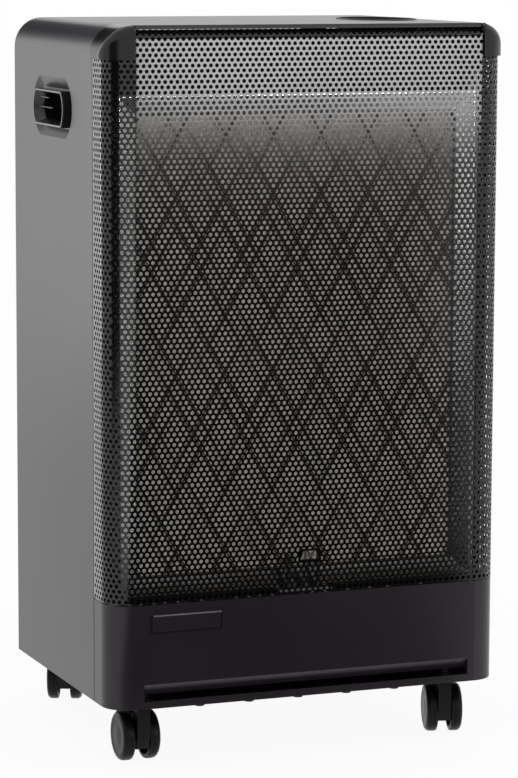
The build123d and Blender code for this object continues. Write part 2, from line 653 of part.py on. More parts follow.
with BuildPart() as valve_spindle:
    with BuildSketch(Plane.XY.offset(SPINDLE_FOOT)):
        with Locations((TUB_X, KNOB_Y)):
            Circle(SPINDLE_RADIUS)
    extrude(amount=KNOB_BOTTOM + KNOB_GRIP - SPINDLE_FOOT)
save(valve_spindle, "valve_spindle")

with BuildPart() as control_knob:
    with BuildSketch(Plane.XY.offset(KNOB_BOTTOM)):
        with Locations((TUB_X, KNOB_Y)):
            Circle(KNOB_RADIUS)
    extrude(amount=KNOB_HEIGHT / 3)
    with BuildSketch(Plane.XY.offset(KNOB_BOTTOM)):
        with Locations((TUB_X, KNOB_Y)):
            Circle(KNOB_RADIUS - KNOB_SKIRT)
    extrude(amount=KNOB_HEIGHT)
    fillet(control_knob.edges().group_by(Axis.Z)[-1], 1.5)
    with BuildSketch(Plane.XY.offset(KNOB_BOTTOM)):
        with Locations((TUB_X, KNOB_Y)):
            Circle(SPINDLE_RADIUS + RUNNING)
    extrude(amount=KNOB_GRIP + RUNNING, mode=Mode.SUBTRACT)
save(control_knob, "control_knob")

with BuildPart() as igniter_body:
    with BuildSketch(Plane.XY.offset(TUB_FLOOR - TUB_WALL)):
        with Locations((TUB_X, BUTTON_Y)):
            Circle(IGNITER_RADIUS)
    extrude(amount=-IGNITER_LENGTH)
    with BuildSketch(Plane.XY.offset(TUB_FLOOR - TUB_WALL)):
        with Locations((TUB_X, BUTTON_Y)):
            Circle(BUTTON_RADIUS + RUNNING)
    extrude(amount=-BUTTON_TRAVEL - BUTTON_HEIGHT, mode=Mode.SUBTRACT)
    with BuildSketch(Plane.YZ.offset(TUB_X + IGNITER_RADIUS - SHEET)):
        with Locations((BUTTON_Y, IGNITION_LEAD_Z)):
            Circle(2 * LEAD_RADIUS)
    extrude(amount=3 + SHEET)
save(igniter_body, "igniter_body")

with BuildPart() as igniter_button:
    with BuildSketch(Plane.XY.offset(TUB_FLOOR + BUTTON_HEIGHT)):
        with Locations((TUB_X, BUTTON_Y)):
            Circle(BUTTON_RADIUS)
    extrude(amount=-BUTTON_HEIGHT - TUB_WALL - BUTTON_HEIGHT + CLEARANCE)
    fillet(igniter_button.edges().group_by(Axis.Z)[-1], 1.5)
save(igniter_button, "igniter_button")

# ---------------------------------------------------------------- burner
def burner_block(width, height, front, back):
    """Upright box centred on the catalytic pad, from one depth to another."""
    with BuildPart() as block:
        with BuildSketch(at_y(front)):
            with Locations((0, PAD_MIDDLE)):
                Rectangle(width, height)
        extrude(amount=front - back)
    return block.part


with BuildPart() as burner_casing:
    add(
        burner_block(
            CASING_INSIDE_WIDTH + 2 * SHEET, CASING_INSIDE_HEIGHT + 2 * SHEET, CASING_Y, CASING_BACK
        )
    )
    add(
        burner_block(CASING_INSIDE_WIDTH, CASING_INSIDE_HEIGHT, CASING_Y, CASING_BACK - SHEET),
        mode=Mode.SUBTRACT,
    )
    # ledge that carries the diffuser, and four feet against the heat shield
    add(burner_block(CASING_INSIDE_WIDTH + SHEET, CASING_INSIDE_HEIGHT + SHEET, LEDGE_Y, LEDGE_Y + LEDGE))
    add(
        burner_block(PAD_WIDTH - LEDGE_REACH, PAD_HEIGHT - LEDGE_REACH, LEDGE_Y, LEDGE_Y + LEDGE),
        mode=Mode.SUBTRACT,
    )
    with BuildSketch(at_y(CASING_BACK)):
        with Locations((0, PAD_MIDDLE)):
            with GridLocations(FOOT_SPACING_X, FOOT_SPACING_Z, 2, 2):
                Circle(FOOT_RADIUS)
    extrude(amount=-CASING_FOOT)
    # injector inlet in the right side
    with BuildSketch(Plane.YZ.offset(CASING_INSIDE_WIDTH / 2 - SHEET)):
        with Locations((FEED_Y, FEED_Z)):
            Circle(INJECTOR_RADIUS + RUNNING)
    extrude(amount=4 * SHEET, mode=Mode.SUBTRACT)
save(burner_casing, "burner_casing")

with BuildPart() as catalytic_pad:
    add(
        burner_block(
            CASING_INSIDE_WIDTH - 2 * CLEARANCE,
            CASING_INSIDE_HEIGHT - 2 * CLEARANCE,
            CASING_Y,
            BLANKET_Y - CLEARANCE,
        )
    )
save(catalytic_pad, "catalytic_pad")

with BuildPart() as insulation_blanket:
    add(
        burner_block(
            CASING_INSIDE_WIDTH - 2 * CLEARANCE,
            CASING_INSIDE_HEIGHT - 2 * CLEARANCE,
            BLANKET_Y,
            DIFFUSER_Y - CLEARANCE,
        )
    )
save(insulation_blanket, "insulation_blanket")

with BuildPart() as diffuser_plate:
    add(
        burner_block(
            CASING_INSIDE_WIDTH - 2 * CLEARANCE,
            CASING_INSIDE_HEIGHT - 2 * CLEARANCE,
            DIFFUSER_Y,
            DIFFUSER_Y + DIFFUSER_THICKNESS,
        )
    )
    with BuildSketch(at_y(DIFFUSER_Y - 1)):
        with Locations((0, PAD_MIDDLE)):
            with GridLocations(DIFFUSER_PITCH, DIFFUSER_PITCH, 8, 11):
                Circle(DIFFUSER_HOLE)
    extrude(amount=-2 * DIFFUSER_THICKNESS - 1, mode=Mode.SUBTRACT)
save(diffuser_plate, "diffuser_plate")

# dished reflector frame: face, outer sides back to the heat shield
with BuildPart() as reflector_frame:
    with BuildSketch(at_y(FRONT + FRAME_Y)):
        with Locations((0, PAD_MIDDLE)):
            Rectangle(FRAME_WIDTH, FRAME_HEIGHT)
    extrude(amount=FRONT + FRAME_Y - SHIELD_FRONT)
    with BuildSketch(at_y(FRAME_LIP + SHEET)):
        with Locations((0, PAD_MIDDLE)):
            Rectangle(FRAME_WIDTH - 2 * SHEET, FRAME_HEIGHT - 2 * SHEET)
    extrude(amount=FRAME_LIP - SHIELD_FRONT, mode=Mode.SUBTRACT)
    with BuildSketch(at_y(FRONT + FRAME_Y)):
        with Locations((0, PAD_MIDDLE)):
            Rectangle(FRAME_WIDTH - 2 * SHEET, FRAME_HEIGHT - 2 * SHEET)
    with BuildSketch(at_y(FRAME_LIP)):
        with Locations((0, PAD_MIDDLE)):
            Rectangle(PAD_WIDTH, PAD_HEIGHT)
    loft(mode=Mode.SUBTRACT)
    with BuildSketch(at_y(FRAME_LIP)):
        with Locations((0, PAD_MIDDLE)):
            Rectangle(PAD_WIDTH, PAD_HEIGHT)
    extrude(amount=-2 * SHEET, mode=Mode.SUBTRACT)
    # notch for the injector block
    with BuildSketch(Plane.YZ.offset(FRAME_WIDTH / 2 - 2 * SHEET)):
        with Locations((FEED_Y, FEED_Z)):
            Rectangle(FEED_BLOCK + 1, FEED_BLOCK + 1)
    extrude(amount=3 * SHEET, mode=Mode.SUBTRACT)
save(reflector_frame, "reflector_frame")


# diagonal wire guard, two layers of paired wires inside a square-bar surround
def clipped_wire(angle, shift, width, height):
    """Ends of a straight line at this angle and sideways shift, inside a centred rectangle."""
    along = Vector(cos(radians(angle)), sin(radians(angle)))
    start = Vector(-sin(radians(angle)), cos(radians(angle))) * shift
    low, high = -1e6, 1e6
    for here, step, half in ((start.X, along.X, width / 2), (start.Y, along.Y, height / 2)):
        first, last = sorted(((-half - here) / step, (half - here) / step))
        low, high = max(low, first), min(high, last)
    return (start + along * low, start + along * high) if high - low > 4 * WIRE_RADIUS else None


with BuildPart() as wire_guard:
    with BuildSketch(at_y(CASING_Y - CLEARANCE)):
        with Locations((0, PAD_MIDDLE)):
            Rectangle(GUARD_WIDTH + 2 * GUARD_BAR, GUARD_HEIGHT + 2 * GUARD_BAR)
            Rectangle(GUARD_WIDTH, GUARD_HEIGHT, mode=Mode.SUBTRACT)
    extrude(amount=GUARD_DEPTH)
    for layer, angle in ((0, WIRE_ANGLE), (1, -WIRE_ANGLE)):
        depth = CASING_Y - CLEARANCE - (WIRE_RADIUS + RUNNING) * (1 + 2 * layer)
        for pair in range(-6, 7):
            for offset in (-WIRE_PAIR / 2, WIRE_PAIR / 2):
                ends = clipped_wire(angle, pair * WIRE_PITCH + offset, GUARD_WIDTH, GUARD_HEIGHT)
                if ends:
                    start = Vector(ends[0].X, depth, PAD_MIDDLE + ends[0].Y)
                    end = Vector(ends[1].X, depth, PAD_MIDDLE + ends[1].Y)
                    with BuildSketch(Plane(origin=start, z_dir=end - start)):
                        Circle(WIRE_RADIUS)
                    extrude(amount=(end - start).length)
save(wire_guard, "wire_guard")

# ---------------------------------------------------------------- gas train and pilot
with BuildPart() as injector_block:
    with BuildSketch(Plane.YZ.offset(CASING_SIDE)):
        with Locations((FEED_Y, FEED_Z)):
            Rectangle(FEED_BLOCK, FEED_BLOCK)
    extrude(amount=PIPE_X + FEED_BLOCK / 2 - CASING_SIDE)
    chamfer(injector_block.faces().sort_by(Axis.X)[-1].edges(), 1.0)
    with BuildSketch(Plane.YZ.offset(CASING_SIDE)):
        with Locations((FEED_Y, FEED_Z)):
            Circle(INJECTOR_RADIUS)
    extrude(amount=-INJECTOR_LENGTH)
save(injector_block, "injector_block")


def pipe(points, radius, name):
    """Round tube or lead along straight runs joined by tangent bends."""
    with BuildPart() as tube:
        with BuildLine() as route:
            FilletPolyline(*points, radius=BEND)
        with BuildSketch(Plane(origin=route.line @ 0, z_dir=route.line % 0)):
            Circle(radius)
        sweep(path=route.line)
    save(tube, name)


pipe(
    (
        (VALVE_SIDE, KNOB_Y + BURNER_PORT_Y, VALVE_BOTTOM + BURNER_PORT_Z),
        (PIPE_X, KNOB_Y + BURNER_PORT_Y, VALVE_BOTTOM + BURNER_PORT_Z),
        (PIPE_X, FEED_Y, VALVE_BOTTOM + BURNER_PORT_Z),
        (PIPE_X, FEED_Y, FEED_Z + FEED_BLOCK / 2),
    ),
    FEED_RADIUS,
    "burner_pipe",
)
pipe(
    (
        (VALVE_SIDE, KNOB_Y + PILOT_PORT_Y, VALVE_BOTTOM + PILOT_PORT_Z),
        (PIPE_X, KNOB_Y + PILOT_PORT_Y, VALVE_BOTTOM + PILOT_PORT_Z),
        (PIPE_X, FRONT + PILOT_RUN_Y, VALVE_BOTTOM + PILOT_PORT_Z),
        (PIPE_X, FRONT + PILOT_RUN_Y, PILOT_RUN_Z),
        (PILOT_X, PILOT_DEPTH, PILOT_RUN_Z),
        (PILOT_X, PILOT_DEPTH, PILOT_FOOT),
    ),
    PILOT_PIPE_RADIUS,
    "pilot_pipe",
)
pipe(
    (
        (VALVE_SIDE, KNOB_Y + THERMO_PORT_Y, VALVE_BOTTOM + THERMO_PORT_Z),
        (LEAD_X, KNOB_Y + THERMO_PORT_Y, VALVE_BOTTOM + THERMO_PORT_Z),
        (LEAD_X, FRONT + THERMO_RUN_Y, VALVE_BOTTOM + THERMO_PORT_Z),
        (LEAD_X, FRONT + THERMO_RUN_Y, THERMO_RUN_Z),
        (THERMO_X, PILOT_DEPTH, THERMO_RUN_Z),
        (THERMO_X, PILOT_DEPTH, PILOT_FOOT),
    ),
    LEAD_RADIUS,
    "thermocouple_lead",
)
pipe(
    (
        (TUB_X + IGNITER_RADIUS + LEAD_STUB, BUTTON_Y, IGNITION_LEAD_Z),
        (LEAD_X, BUTTON_Y, IGNITION_LEAD_Z),
        (LEAD_X, FRONT + IGNITION_RUN_Y, IGNITION_LEAD_Z),
        (LEAD_X, FRONT + IGNITION_RUN_Y, IGNITION_RUN_Z),
        (ELECTRODE_X, PILOT_DEPTH, IGNITION_RUN_Z),
        (ELECTRODE_X, PILOT_DEPTH, PILOT_FOOT),
    ),
    LEAD_RADIUS,
    "ignition_lead",
)

with BuildPart() as pilot_bracket:
    with BuildSketch(Plane.XY.offset(FRAME_BOTTOM - PILOT_PLATE)):
        with Locations(((PILOT_X + THERMO_X) / 2, PILOT_DEPTH + BRACKET_SETBACK)):
            Rectangle(BRACKET_WIDTH, BRACKET_DEPTH)
        with Locations((PILOT_X, PILOT_DEPTH), (ELECTRODE_X, PILOT_DEPTH), (THERMO_X, PILOT_DEPTH)):
            Circle(PILOT_SHANK + CLEARANCE / 2, mode=Mode.SUBTRACT)
    extrude(amount=PILOT_PLATE)
save(pilot_bracket, "pilot_bracket")

with BuildPart() as pilot_burner:
    with BuildSketch(Plane.XY.offset(PILOT_FOOT)):
        with Locations((PILOT_X, PILOT_DEPTH)):
            Circle(PILOT_SHANK)
    extrude(amount=PILOT_TIP - PILOT_HEAD_DROP - PILOT_HEAD_HEIGHT - PILOT_FOOT)
    with BuildSketch(Plane.XY.offset(FRAME_BOTTOM)):
        with Locations((PILOT_X, PILOT_DEPTH)):
            RegularPolygon(PILOT_HEX, 6)
    extrude(amount=NUT_HEIGHT)
    with BuildSketch(Plane.XY.offset(PILOT_TIP - PILOT_HEAD_DROP)):
        with Locations((PILOT_X, PILOT_DEPTH)):
            Circle(PILOT_HEAD_RADIUS)
    extrude(amount=-PILOT_HEAD_HEIGHT)
save(pilot_burner, "pilot_burner")

with BuildPart() as ignition_electrode:
    with BuildSketch(Plane.XY.offset(PILOT_FOOT)):
        with Locations((ELECTRODE_X, PILOT_DEPTH)):
            Circle(PILOT_SHANK)
    extrude(amount=PILOT_TIP - ELECTRODE_LENGTH - PILOT_FOOT)
    with BuildSketch(Plane.XY.offset(FRAME_BOTTOM)):
        with Locations((ELECTRODE_X, PILOT_DEPTH)):
            Circle(ELECTRODE_COLLAR)
    extrude(amount=NUT_HEIGHT)
    with BuildSketch(Plane.XY.offset(PILOT_TIP)):
        with Locations((ELECTRODE_X, PILOT_DEPTH)):
            Circle(ELECTRODE_RADIUS)
    extrude(amount=-ELECTRODE_LENGTH)
save(ignition_electrode, "ignition_electrode")

with BuildPart() as thermocouple:
    with BuildSketch(Plane.XY.offset(PILOT_FOOT)):
        with Locations((THERMO_X, PILOT_DEPTH)):
            Circle(THERMO_RADIUS)
    extrude(amount=PILOT_TIP - PILOT_FOOT)
    fillet(thermocouple.edges().sort_by(Axis.Z)[-1], THERMO_RADIUS / 2)
    with BuildSketch(Plane.XY.offset(FRAME_BOTTOM)):
        with Locations((THERMO_X, PILOT_DEPTH)):
            RegularPolygon(PILOT_HEX, 6)
    extrude(amount=NUT_HEIGHT)
save(thermocouple, "thermocouple")

# ---------------------------------------------------------------- heat shield
with BuildPart() as heat_shield:
    with BuildSketch(at_y(SHIELD_FRONT)):
        with Locations((0, (SHIELD_TOP + TRAY_FLOOR) / 2)):
            Rectangle(2 * (INNER - CLEARANCE), SHIELD_TOP - TRAY_FLOOR)
    extrude(amount=-SHIELD_FLANGE)
    with BuildSketch(at_y(SHIELD_FRONT + SHEET)):
        with Locations((0, (SHIELD_TOP + TRAY_FLOOR) / 2 + SHEET)):
            Rectangle(2 * (INNER - CLEARANCE - SHEET), SHIELD_TOP - TRAY_FLOOR)
    extrude(amount=-SHIELD_FLANGE, mode=Mode.SUBTRACT)
    # clear of the castor sockets at the foot, and of the rounded top corners and pipes above
    with BuildSketch(at_y(SHIELD_FRONT - SHEET)):
        with Locations((-HALF, TRAY_FLOOR), (HALF, TRAY_FLOOR)):
            Rectangle(2 * SOCKET_CUT, 2 * (SOCKET_TOP + SOCKET_CUT_ABOVE - TRAY_FLOOR))
        with Locations((-INNER, SHIELD_TOP), (INNER, SHIELD_TOP)):
            Rectangle(2 * PIPE_CUT, 2 * (SHIELD_TOP - VALVE_BOTTOM + PIPE_CUT_BELOW))
    extrude(amount=-2 * SHIELD_FLANGE, mode=Mode.SUBTRACT)
save(heat_shield, "heat_shield")

# ---------------------------------------------------------------- base tray
def tray_plan(inset):
    """Plan of the tray: rounded front, full width to the rear folds, tapering inside the rear cover."""
    with BuildSketch() as plan:
        add(front_plan(SHEET + CLEARANCE + inset))
        with Locations((0, (SEAM + TRAY_STEP - inset) / 2)):
            Rectangle(2 * (INNER - CLEARANCE - inset), TRAY_STEP - inset - SEAM)
        with BuildLine():
            Polyline(
                (-(COVER_HALF_FRONT - TRAY_TO_COVER - inset), TRAY_STEP - TRAY_OVERLAP),
                (COVER_HALF_FRONT - TRAY_TO_COVER - inset, TRAY_STEP - TRAY_OVERLAP),
                (COVER_HALF_REAR - TRAY_TO_COVER - inset, TRAY_REAR - inset),
                (-(COVER_HALF_REAR - TRAY_TO_COVER - inset), TRAY_REAR - inset),
                close=True,
            )
        make_face()
    return plan.sketch


with BuildPart() as base_tray:
    with BuildSketch(Plane.XY.offset(TRAY_BOTTOM)):
        add(tray_plan(0))
    extrude(amount=TRAY_UPSTAND)
    with BuildSketch(Plane.XY.offset(TRAY_FLOOR)):
        add(tray_plan(TRAY_SHEET))
    extrude(amount=TRAY_UPSTAND, mode=Mode.SUBTRACT)
    # upstand lowered behind the air slot, and where the rear cover tucks in
    with BuildSketch(Plane.XY.offset(SLOT_BOTTOM - CLEARANCE)):
        with Locations((0, FRONT)):
            Rectangle(SLOT_LENGTH + 4 * SHEET, 2 * (SLOT_DEPTH + SHEET))
    extrude(amount=TRAY_UPSTAND, mode=Mode.SUBTRACT)
    with BuildSketch(Plane.XY.offset(COVER_BOTTOM - CLEARANCE)):
        with Locations((-HALF, SHELL_REAR - COVER_TUCK / 2), (HALF, SHELL_REAR - COVER_TUCK / 2)):
            Rectangle(2 * (HALF - COVER_HALF_FRONT + TRAY_TO_COVER), COVER_TUCK + 2 * SHEET)
    extrude(amount=TRAY_UPSTAND, mode=Mode.SUBTRACT)
    # pressed ribs under the floor
    with BuildSketch(Plane.XY.offset(TRAY_BOTTOM)):
        with Locations((0, FRONT + RIB_START + RIB_LENGTH / 2)):
            with GridLocations(RIB_PITCH, 1, RIB_COUNT, 1):
                SlotOverall(RIB_LENGTH, RIB_WIDTH, rotation=90)
    extrude(amount=-RIB_DEPTH, taper=RIB_TAPER)
    with BuildSketch(Plane.XY.offset(TRAY_FLOOR)):
        with Locations((0, FRONT + RIB_START + RIB_LENGTH / 2)):
            with GridLocations(RIB_PITCH, 1, RIB_COUNT, 1):
                SlotOverall(RIB_LENGTH - 2 * TRAY_SHEET, RIB_WIDTH - 2 * TRAY_SHEET, rotation=90)
    extrude(amount=-RIB_DEPTH, taper=RIB_TAPER, mode=Mode.SUBTRACT)
    # holes for the castor sockets
    with BuildSketch(Plane.XY.offset(TRAY_BOTTOM)):
        with Locations(*STEMS.values()):
            Circle(SOCKET_RADIUS + CLEARANCE)
    extrude(amount=TRAY_SHEET, mode=Mode.SUBTRACT)
    # ears that hold the rear cover's hinge pins
    with BuildSketch(Plane.YZ) as ear:
        with BuildLine():
            Polyline(
                (TRAY_REAR - TRAY_SHEET, TRAY_BOTTOM),
                (TRAY_REAR - TRAY_SHEET, TRAY_BOTTOM + TRAY_UPSTAND / 2),
                (HINGE_Y, HINGE_Z + HINGE_EAR_RADIUS),
                (HINGE_Y, HINGE_Z - HINGE_EAR_RADIUS),
                close=True,
            )
        make_face()
        with Locations((HINGE_Y, HINGE_Z)):
            Circle(HINGE_EAR_RADIUS)
            Circle(HINGE_PIN_RADIUS + RUNNING, mode=Mode.SUBTRACT)
    for side in (-1, 1):
        for end in (-1, 1):
            x = side * HINGE_SPAN + end * (HINGE_WIDTH / 2 + CLEARANCE + HINGE_EAR / 2)
            extrude(ear.sketch.moved(Location((x, 0, 0))), amount=HINGE_EAR / 2, both=True)
save(base_tray, "base_tray")

with BuildPart() as castor_sockets:
    for place in STEMS.values():
        with BuildSketch(Plane.XY.offset(PANEL_BOTTOM)):
            with Locations(place):
                Circle(SOCKET_RADIUS)
        extrude(amount=SOCKET_TOP - PANEL_BOTTOM)
        with BuildSketch(Plane.XY.offset(TRAY_FLOOR)):
            with Locations(place):
                Circle(SOCKET_RADIUS + SOCKET_FLANGE)
        extrude(amount=SOCKET_ROOF)
        with BuildSketch(Plane.XY.offset(PANEL_BOTTOM)):
            with Locations(place):
                Circle(STEM_RADIUS + RUNNING)
        extrude(amount=SOCKET_TOP - PANEL_BOTTOM - SOCKET_ROOF, mode=Mode.SUBTRACT)
save(castor_sockets, "castor_sockets")

with BuildPart() as hinge_pins:
    for side in (-1, 1):
        with BuildSketch(Plane.YZ.offset(side * HINGE_SPAN)):
            with Locations((HINGE_Y, HINGE_Z)):
                Circle(HINGE_PIN_RADIUS)
        extrude(amount=HINGE_WIDTH / 2 + CLEARANCE + HINGE_EAR, both=True)
save(hinge_pins, "hinge_pins")

# ---------------------------------------------------------------- rear cover
def cover_block(inset):
    """Tapered hood with a sloping top, set in from the cover's outside."""
    with BuildPart() as block:
        with BuildSketch(Plane.XY.offset(COVER_BOTTOM)) as plan:
            with BuildLine():
                Polyline(
                    (-(COVER_HALF_FRONT - inset), COVER_FRONT),
                    (COVER_HALF_FRONT - inset, COVER_FRONT),
                    (COVER_HALF_REAR - inset, BACK - inset),
                    (-(COVER_HALF_REAR - inset), BACK - inset),
                    close=True,
                )
            make_face()
            fillet(plan.vertices().group_by(Axis.Y)[-1], COVER_CORNER - inset)
        extrude(amount=COVER_TOP_FRONT - inset - COVER_BOTTOM)
        with BuildSketch(Plane.YZ.offset(-HALF)):
            with BuildLine():
                Polyline(
                    (COVER_FRONT, COVER_TOP_FRONT - inset),
                    (BACK, COVER_TOP_REAR - inset),
                    (BACK, COVER_TOP_FRONT + 1),
                    (COVER_FRONT, COVER_TOP_FRONT + 1),
                    close=True,
                )
            make_face()
        extrude(amount=WIDTH, mode=Mode.SUBTRACT)
    return block.part


with BuildPart() as rear_cover:
    add(cover_block(0))
    add(cover_block(SHEET), mode=Mode.SUBTRACT)
    # flange behind the magnets
    with BuildSketch(at_y(COVER_FRONT)):
        with Locations((0, COVER_TOP_FRONT - COVER_FLANGE / 2 - SHEET / 2)):
            Rectangle(2 * (COVER_HALF_FRONT - SHEET / 2), COVER_FLANGE - SHEET)
    extrude(amount=-SHEET)
    # louvre slots, a block at the top and one at the foot
    with BuildSketch(at_y(BACK + SHEET)):
        for block_z in (COVER_BOTTOM + LOUVRE_MARGIN, COVER_TOP_REAR - LOUVRE_MARGIN):
            with Locations((0, block_z)):
                with GridLocations(LOUVRE_LENGTH + 20, LOUVRE_PITCH, 3, LOUVRE_ROWS):
                    SlotOverall(LOUVRE_LENGTH, LOUVRE_HEIGHT)
    extrude(amount=4 * SHEET, mode=Mode.SUBTRACT)
    # hinge knuckles under the back wall
    with BuildSketch(Plane.YZ) as knuckle:
        with BuildLine():
            Polyline(
                (BACK - SHEET, COVER_BOTTOM + HINGE_LEAF),
                (BACK - 2 * SHEET, COVER_BOTTOM + HINGE_LEAF),
                (BACK - 2 * SHEET, HINGE_Z + SHEET),
                (HINGE_Y, HINGE_Z + SHEET),
                (HINGE_Y, HINGE_Z - SHEET),
                (BACK - SHEET, HINGE_Z - SHEET),
                close=True,
            )
        make_face()
        with Locations((HINGE_Y, HINGE_Z)):
            Circle(HINGE_EAR_RADIUS)
            Circle(HINGE_PIN_RADIUS + RUNNING, mode=Mode.SUBTRACT)
    for side in (-1, 1):
        placed = knuckle.sketch.moved(Location((side * HINGE_SPAN, 0, 0)))
        extrude(placed, amount=HINGE_WIDTH / 2, both=True)
save(rear_cover, "rear_cover")

# magnets under the cabinet's top that hold the cover shut
with BuildPart() as cover_magnets:
    for side in (-1, 1):
        with BuildSketch(Plane.XY.offset(HEIGHT - SHEET)):
            with Locations((side * MAGNET_SPAN, COVER_FRONT - CLEARANCE - MAGNET_DEPTH / 2)):
                Rectangle(MAGNET_WIDTH, MAGNET_DEPTH)
        extrude(amount=-MAGNET_DROP)
save(cover_magnets, "cover_magnets")

# ---------------------------------------------------------------- castors
def fender_sector(inside, outside):
    """Side outline of a ring sector round the axle, on the castor's trailing side."""
    with BuildLine() as outline:
        outer = CenterArc((TRAIL, WHEEL_RADIUS), outside, FENDER_START, FENDER_SWEEP)
        inner = CenterArc((TRAIL, WHEEL_RADIUS), inside, FENDER_START, FENDER_SWEEP)
        Line(outer @ 0, inner @ 0)
        Line(outer @ 1, inner @ 1)
    return outline.line


for corner, (stem_x, stem_y) in STEMS.items():
    turn = radians(CASTOR_HEADINGS[corner])
    swivel = Plane(origin=(stem_x, stem_y, 0), x_dir=(cos(turn), sin(turn), 0))
    profile = Plane(origin=swivel.origin, x_dir=swivel.y_dir, z_dir=swivel.x_dir)

    with BuildPart() as castor_hood:
        # web between the wheels
        with BuildSketch(profile):
            with Locations((TRAIL, WHEEL_RADIUS)):
                Circle(WEB_RADIUS)
            make_face(fender_sector(WEB_RADIUS / 2, FENDER_OUTSIDE))
            with Locations((TRAIL, WEB_TOP + WHEEL_RADIUS)):
                Rectangle(4 * WHEEL_RADIUS, 2 * WHEEL_RADIUS, mode=Mode.SUBTRACT)
            with Locations((TRAIL, WEB_BOTTOM - WHEEL_RADIUS)):
                Rectangle(4 * WHEEL_RADIUS, 2 * WHEEL_RADIUS, mode=Mode.SUBTRACT)
            with Locations((0, (WHEEL_RADIUS + BOSS_TOP) / 2)):
                Rectangle(2 * BOSS_RADIUS, BOSS_TOP - WHEEL_RADIUS)
            with Locations((TRAIL, WHEEL_RADIUS)):
                Circle(AXLE_RADIUS + RUNNING, mode=Mode.SUBTRACT)
        extrude(amount=WEB / 2, both=True)
        # fender over the wheels, and the boss round the stem
        with BuildSketch(profile):
            make_face(fender_sector(FENDER_INSIDE, FENDER_OUTSIDE))
        extrude(amount=HOOD_WIDTH / 2, both=True)
        with BuildSketch(swivel.offset(BOSS_BOTTOM)):
            Circle(BOSS_RADIUS)
        extrude(amount=BOSS_TOP - BOSS_BOTTOM)
        with BuildSketch(swivel.offset(STEM_FOOT)):
            Circle(STEM_RADIUS + RUNNING)
        extrude(amount=BOSS_TOP - STEM_FOOT, mode=Mode.SUBTRACT)
    save(castor_hood, f"castor_hood_{corner}")

    with BuildPart() as castor_stem:
        with BuildSketch(swivel.offset(STEM_FOOT)):
            Circle(STEM_RADIUS)
        extrude(amount=SOCKET_TOP - SOCKET_ROOF - CLEARANCE - STEM_FOOT)
        with BuildSketch(swivel.offset(BOSS_TOP)):
            Circle(SOCKET_RADIUS - SHEET)
        extrude(amount=PANEL_BOTTOM - CLEARANCE - BOSS_TOP)
    save(castor_stem, f"castor_stem_{corner}")

    with BuildPart() as castor_axle:
        with BuildSketch(profile):
            with Locations((TRAIL, WHEEL_RADIUS)):
                Circle(AXLE_RADIUS)
        extrude(amount=AXLE_REACH, both=True)
    save(castor_axle, f"castor_axle_{corner}")

    for side, hand in ((-1, "left"), (1, "right")):
        hub_face = Plane(
            origin=swivel.from_local_coords(Vector(side * WHEEL_GAP / 2, TRAIL, WHEEL_RADIUS)),
            z_dir=swivel.x_dir * side,
        )
        with BuildPart() as castor_wheel:
            with BuildSketch(hub_face):
                Circle(WHEEL_RADIUS)
            extrude(amount=WHEEL_WIDTH)
            outer_side = castor_wheel.faces().sort_by(Axis((0, 0, 0), swivel.x_dir * side))[-1]
            fillet(outer_side.edges(), WHEEL_DOME)
            with BuildSketch(hub_face):
                Circle(WHEEL_RADIUS - WHEEL_RIM)
                Circle(HUB_RADIUS, mode=Mode.SUBTRACT)
                Circle(AXLE_RADIUS + RUNNING)
            extrude(amount=WHEEL_WIDTH - WHEEL_FACE, mode=Mode.SUBTRACT)
        save(castor_wheel, f"castor_wheel_{corner}_{hand}")
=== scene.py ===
# %% [markdown]
# # A portable gas heater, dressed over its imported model
# The solids come in as a fixed frame: every piece below is placed by what the frame
# says, in metres, with the floor at zero and the front face towards minus Y.

# %% Load the frame
import json
import math

import bpy
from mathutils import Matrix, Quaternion, Vector

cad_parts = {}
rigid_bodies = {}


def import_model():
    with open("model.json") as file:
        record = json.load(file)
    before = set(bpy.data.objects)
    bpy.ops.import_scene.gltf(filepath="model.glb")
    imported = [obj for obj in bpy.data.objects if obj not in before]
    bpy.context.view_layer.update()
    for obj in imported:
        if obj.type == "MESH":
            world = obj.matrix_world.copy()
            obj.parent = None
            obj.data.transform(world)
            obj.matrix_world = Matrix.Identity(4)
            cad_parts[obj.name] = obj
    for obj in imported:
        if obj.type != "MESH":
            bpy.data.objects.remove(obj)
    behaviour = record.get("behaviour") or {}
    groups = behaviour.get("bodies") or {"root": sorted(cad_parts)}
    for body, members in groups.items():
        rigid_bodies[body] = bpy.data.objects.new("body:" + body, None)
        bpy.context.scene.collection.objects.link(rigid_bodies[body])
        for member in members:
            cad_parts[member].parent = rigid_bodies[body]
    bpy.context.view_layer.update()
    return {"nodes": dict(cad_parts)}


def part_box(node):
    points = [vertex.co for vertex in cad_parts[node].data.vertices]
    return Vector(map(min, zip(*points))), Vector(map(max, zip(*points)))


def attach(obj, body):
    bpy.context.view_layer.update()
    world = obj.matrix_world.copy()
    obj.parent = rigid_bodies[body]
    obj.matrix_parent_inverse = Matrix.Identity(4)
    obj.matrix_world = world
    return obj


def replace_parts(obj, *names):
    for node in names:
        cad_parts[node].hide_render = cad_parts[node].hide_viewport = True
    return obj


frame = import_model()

NODES = frame["nodes"]
MM = 0.001
print("nodes in the frame:", len(NODES))

# %% [markdown]
# The camera comes first, because everything else is judged through it. A long lens
# from about three metres away keeps the cabinet's upright edges almost parallel.

# %% Camera
FRAME_HEIGHT_PX = 778
FOCAL_PX = 3226.7
CAMERA_PLACE = Vector((-1.2050, -3.1042, 0.8232))
SENSOR_MM = 36.0
YAW, PITCH, ROLL = (math.radians(a) for a in (21.46, 8.089, 0.219))

lens = bpy.data.cameras.new("camera")
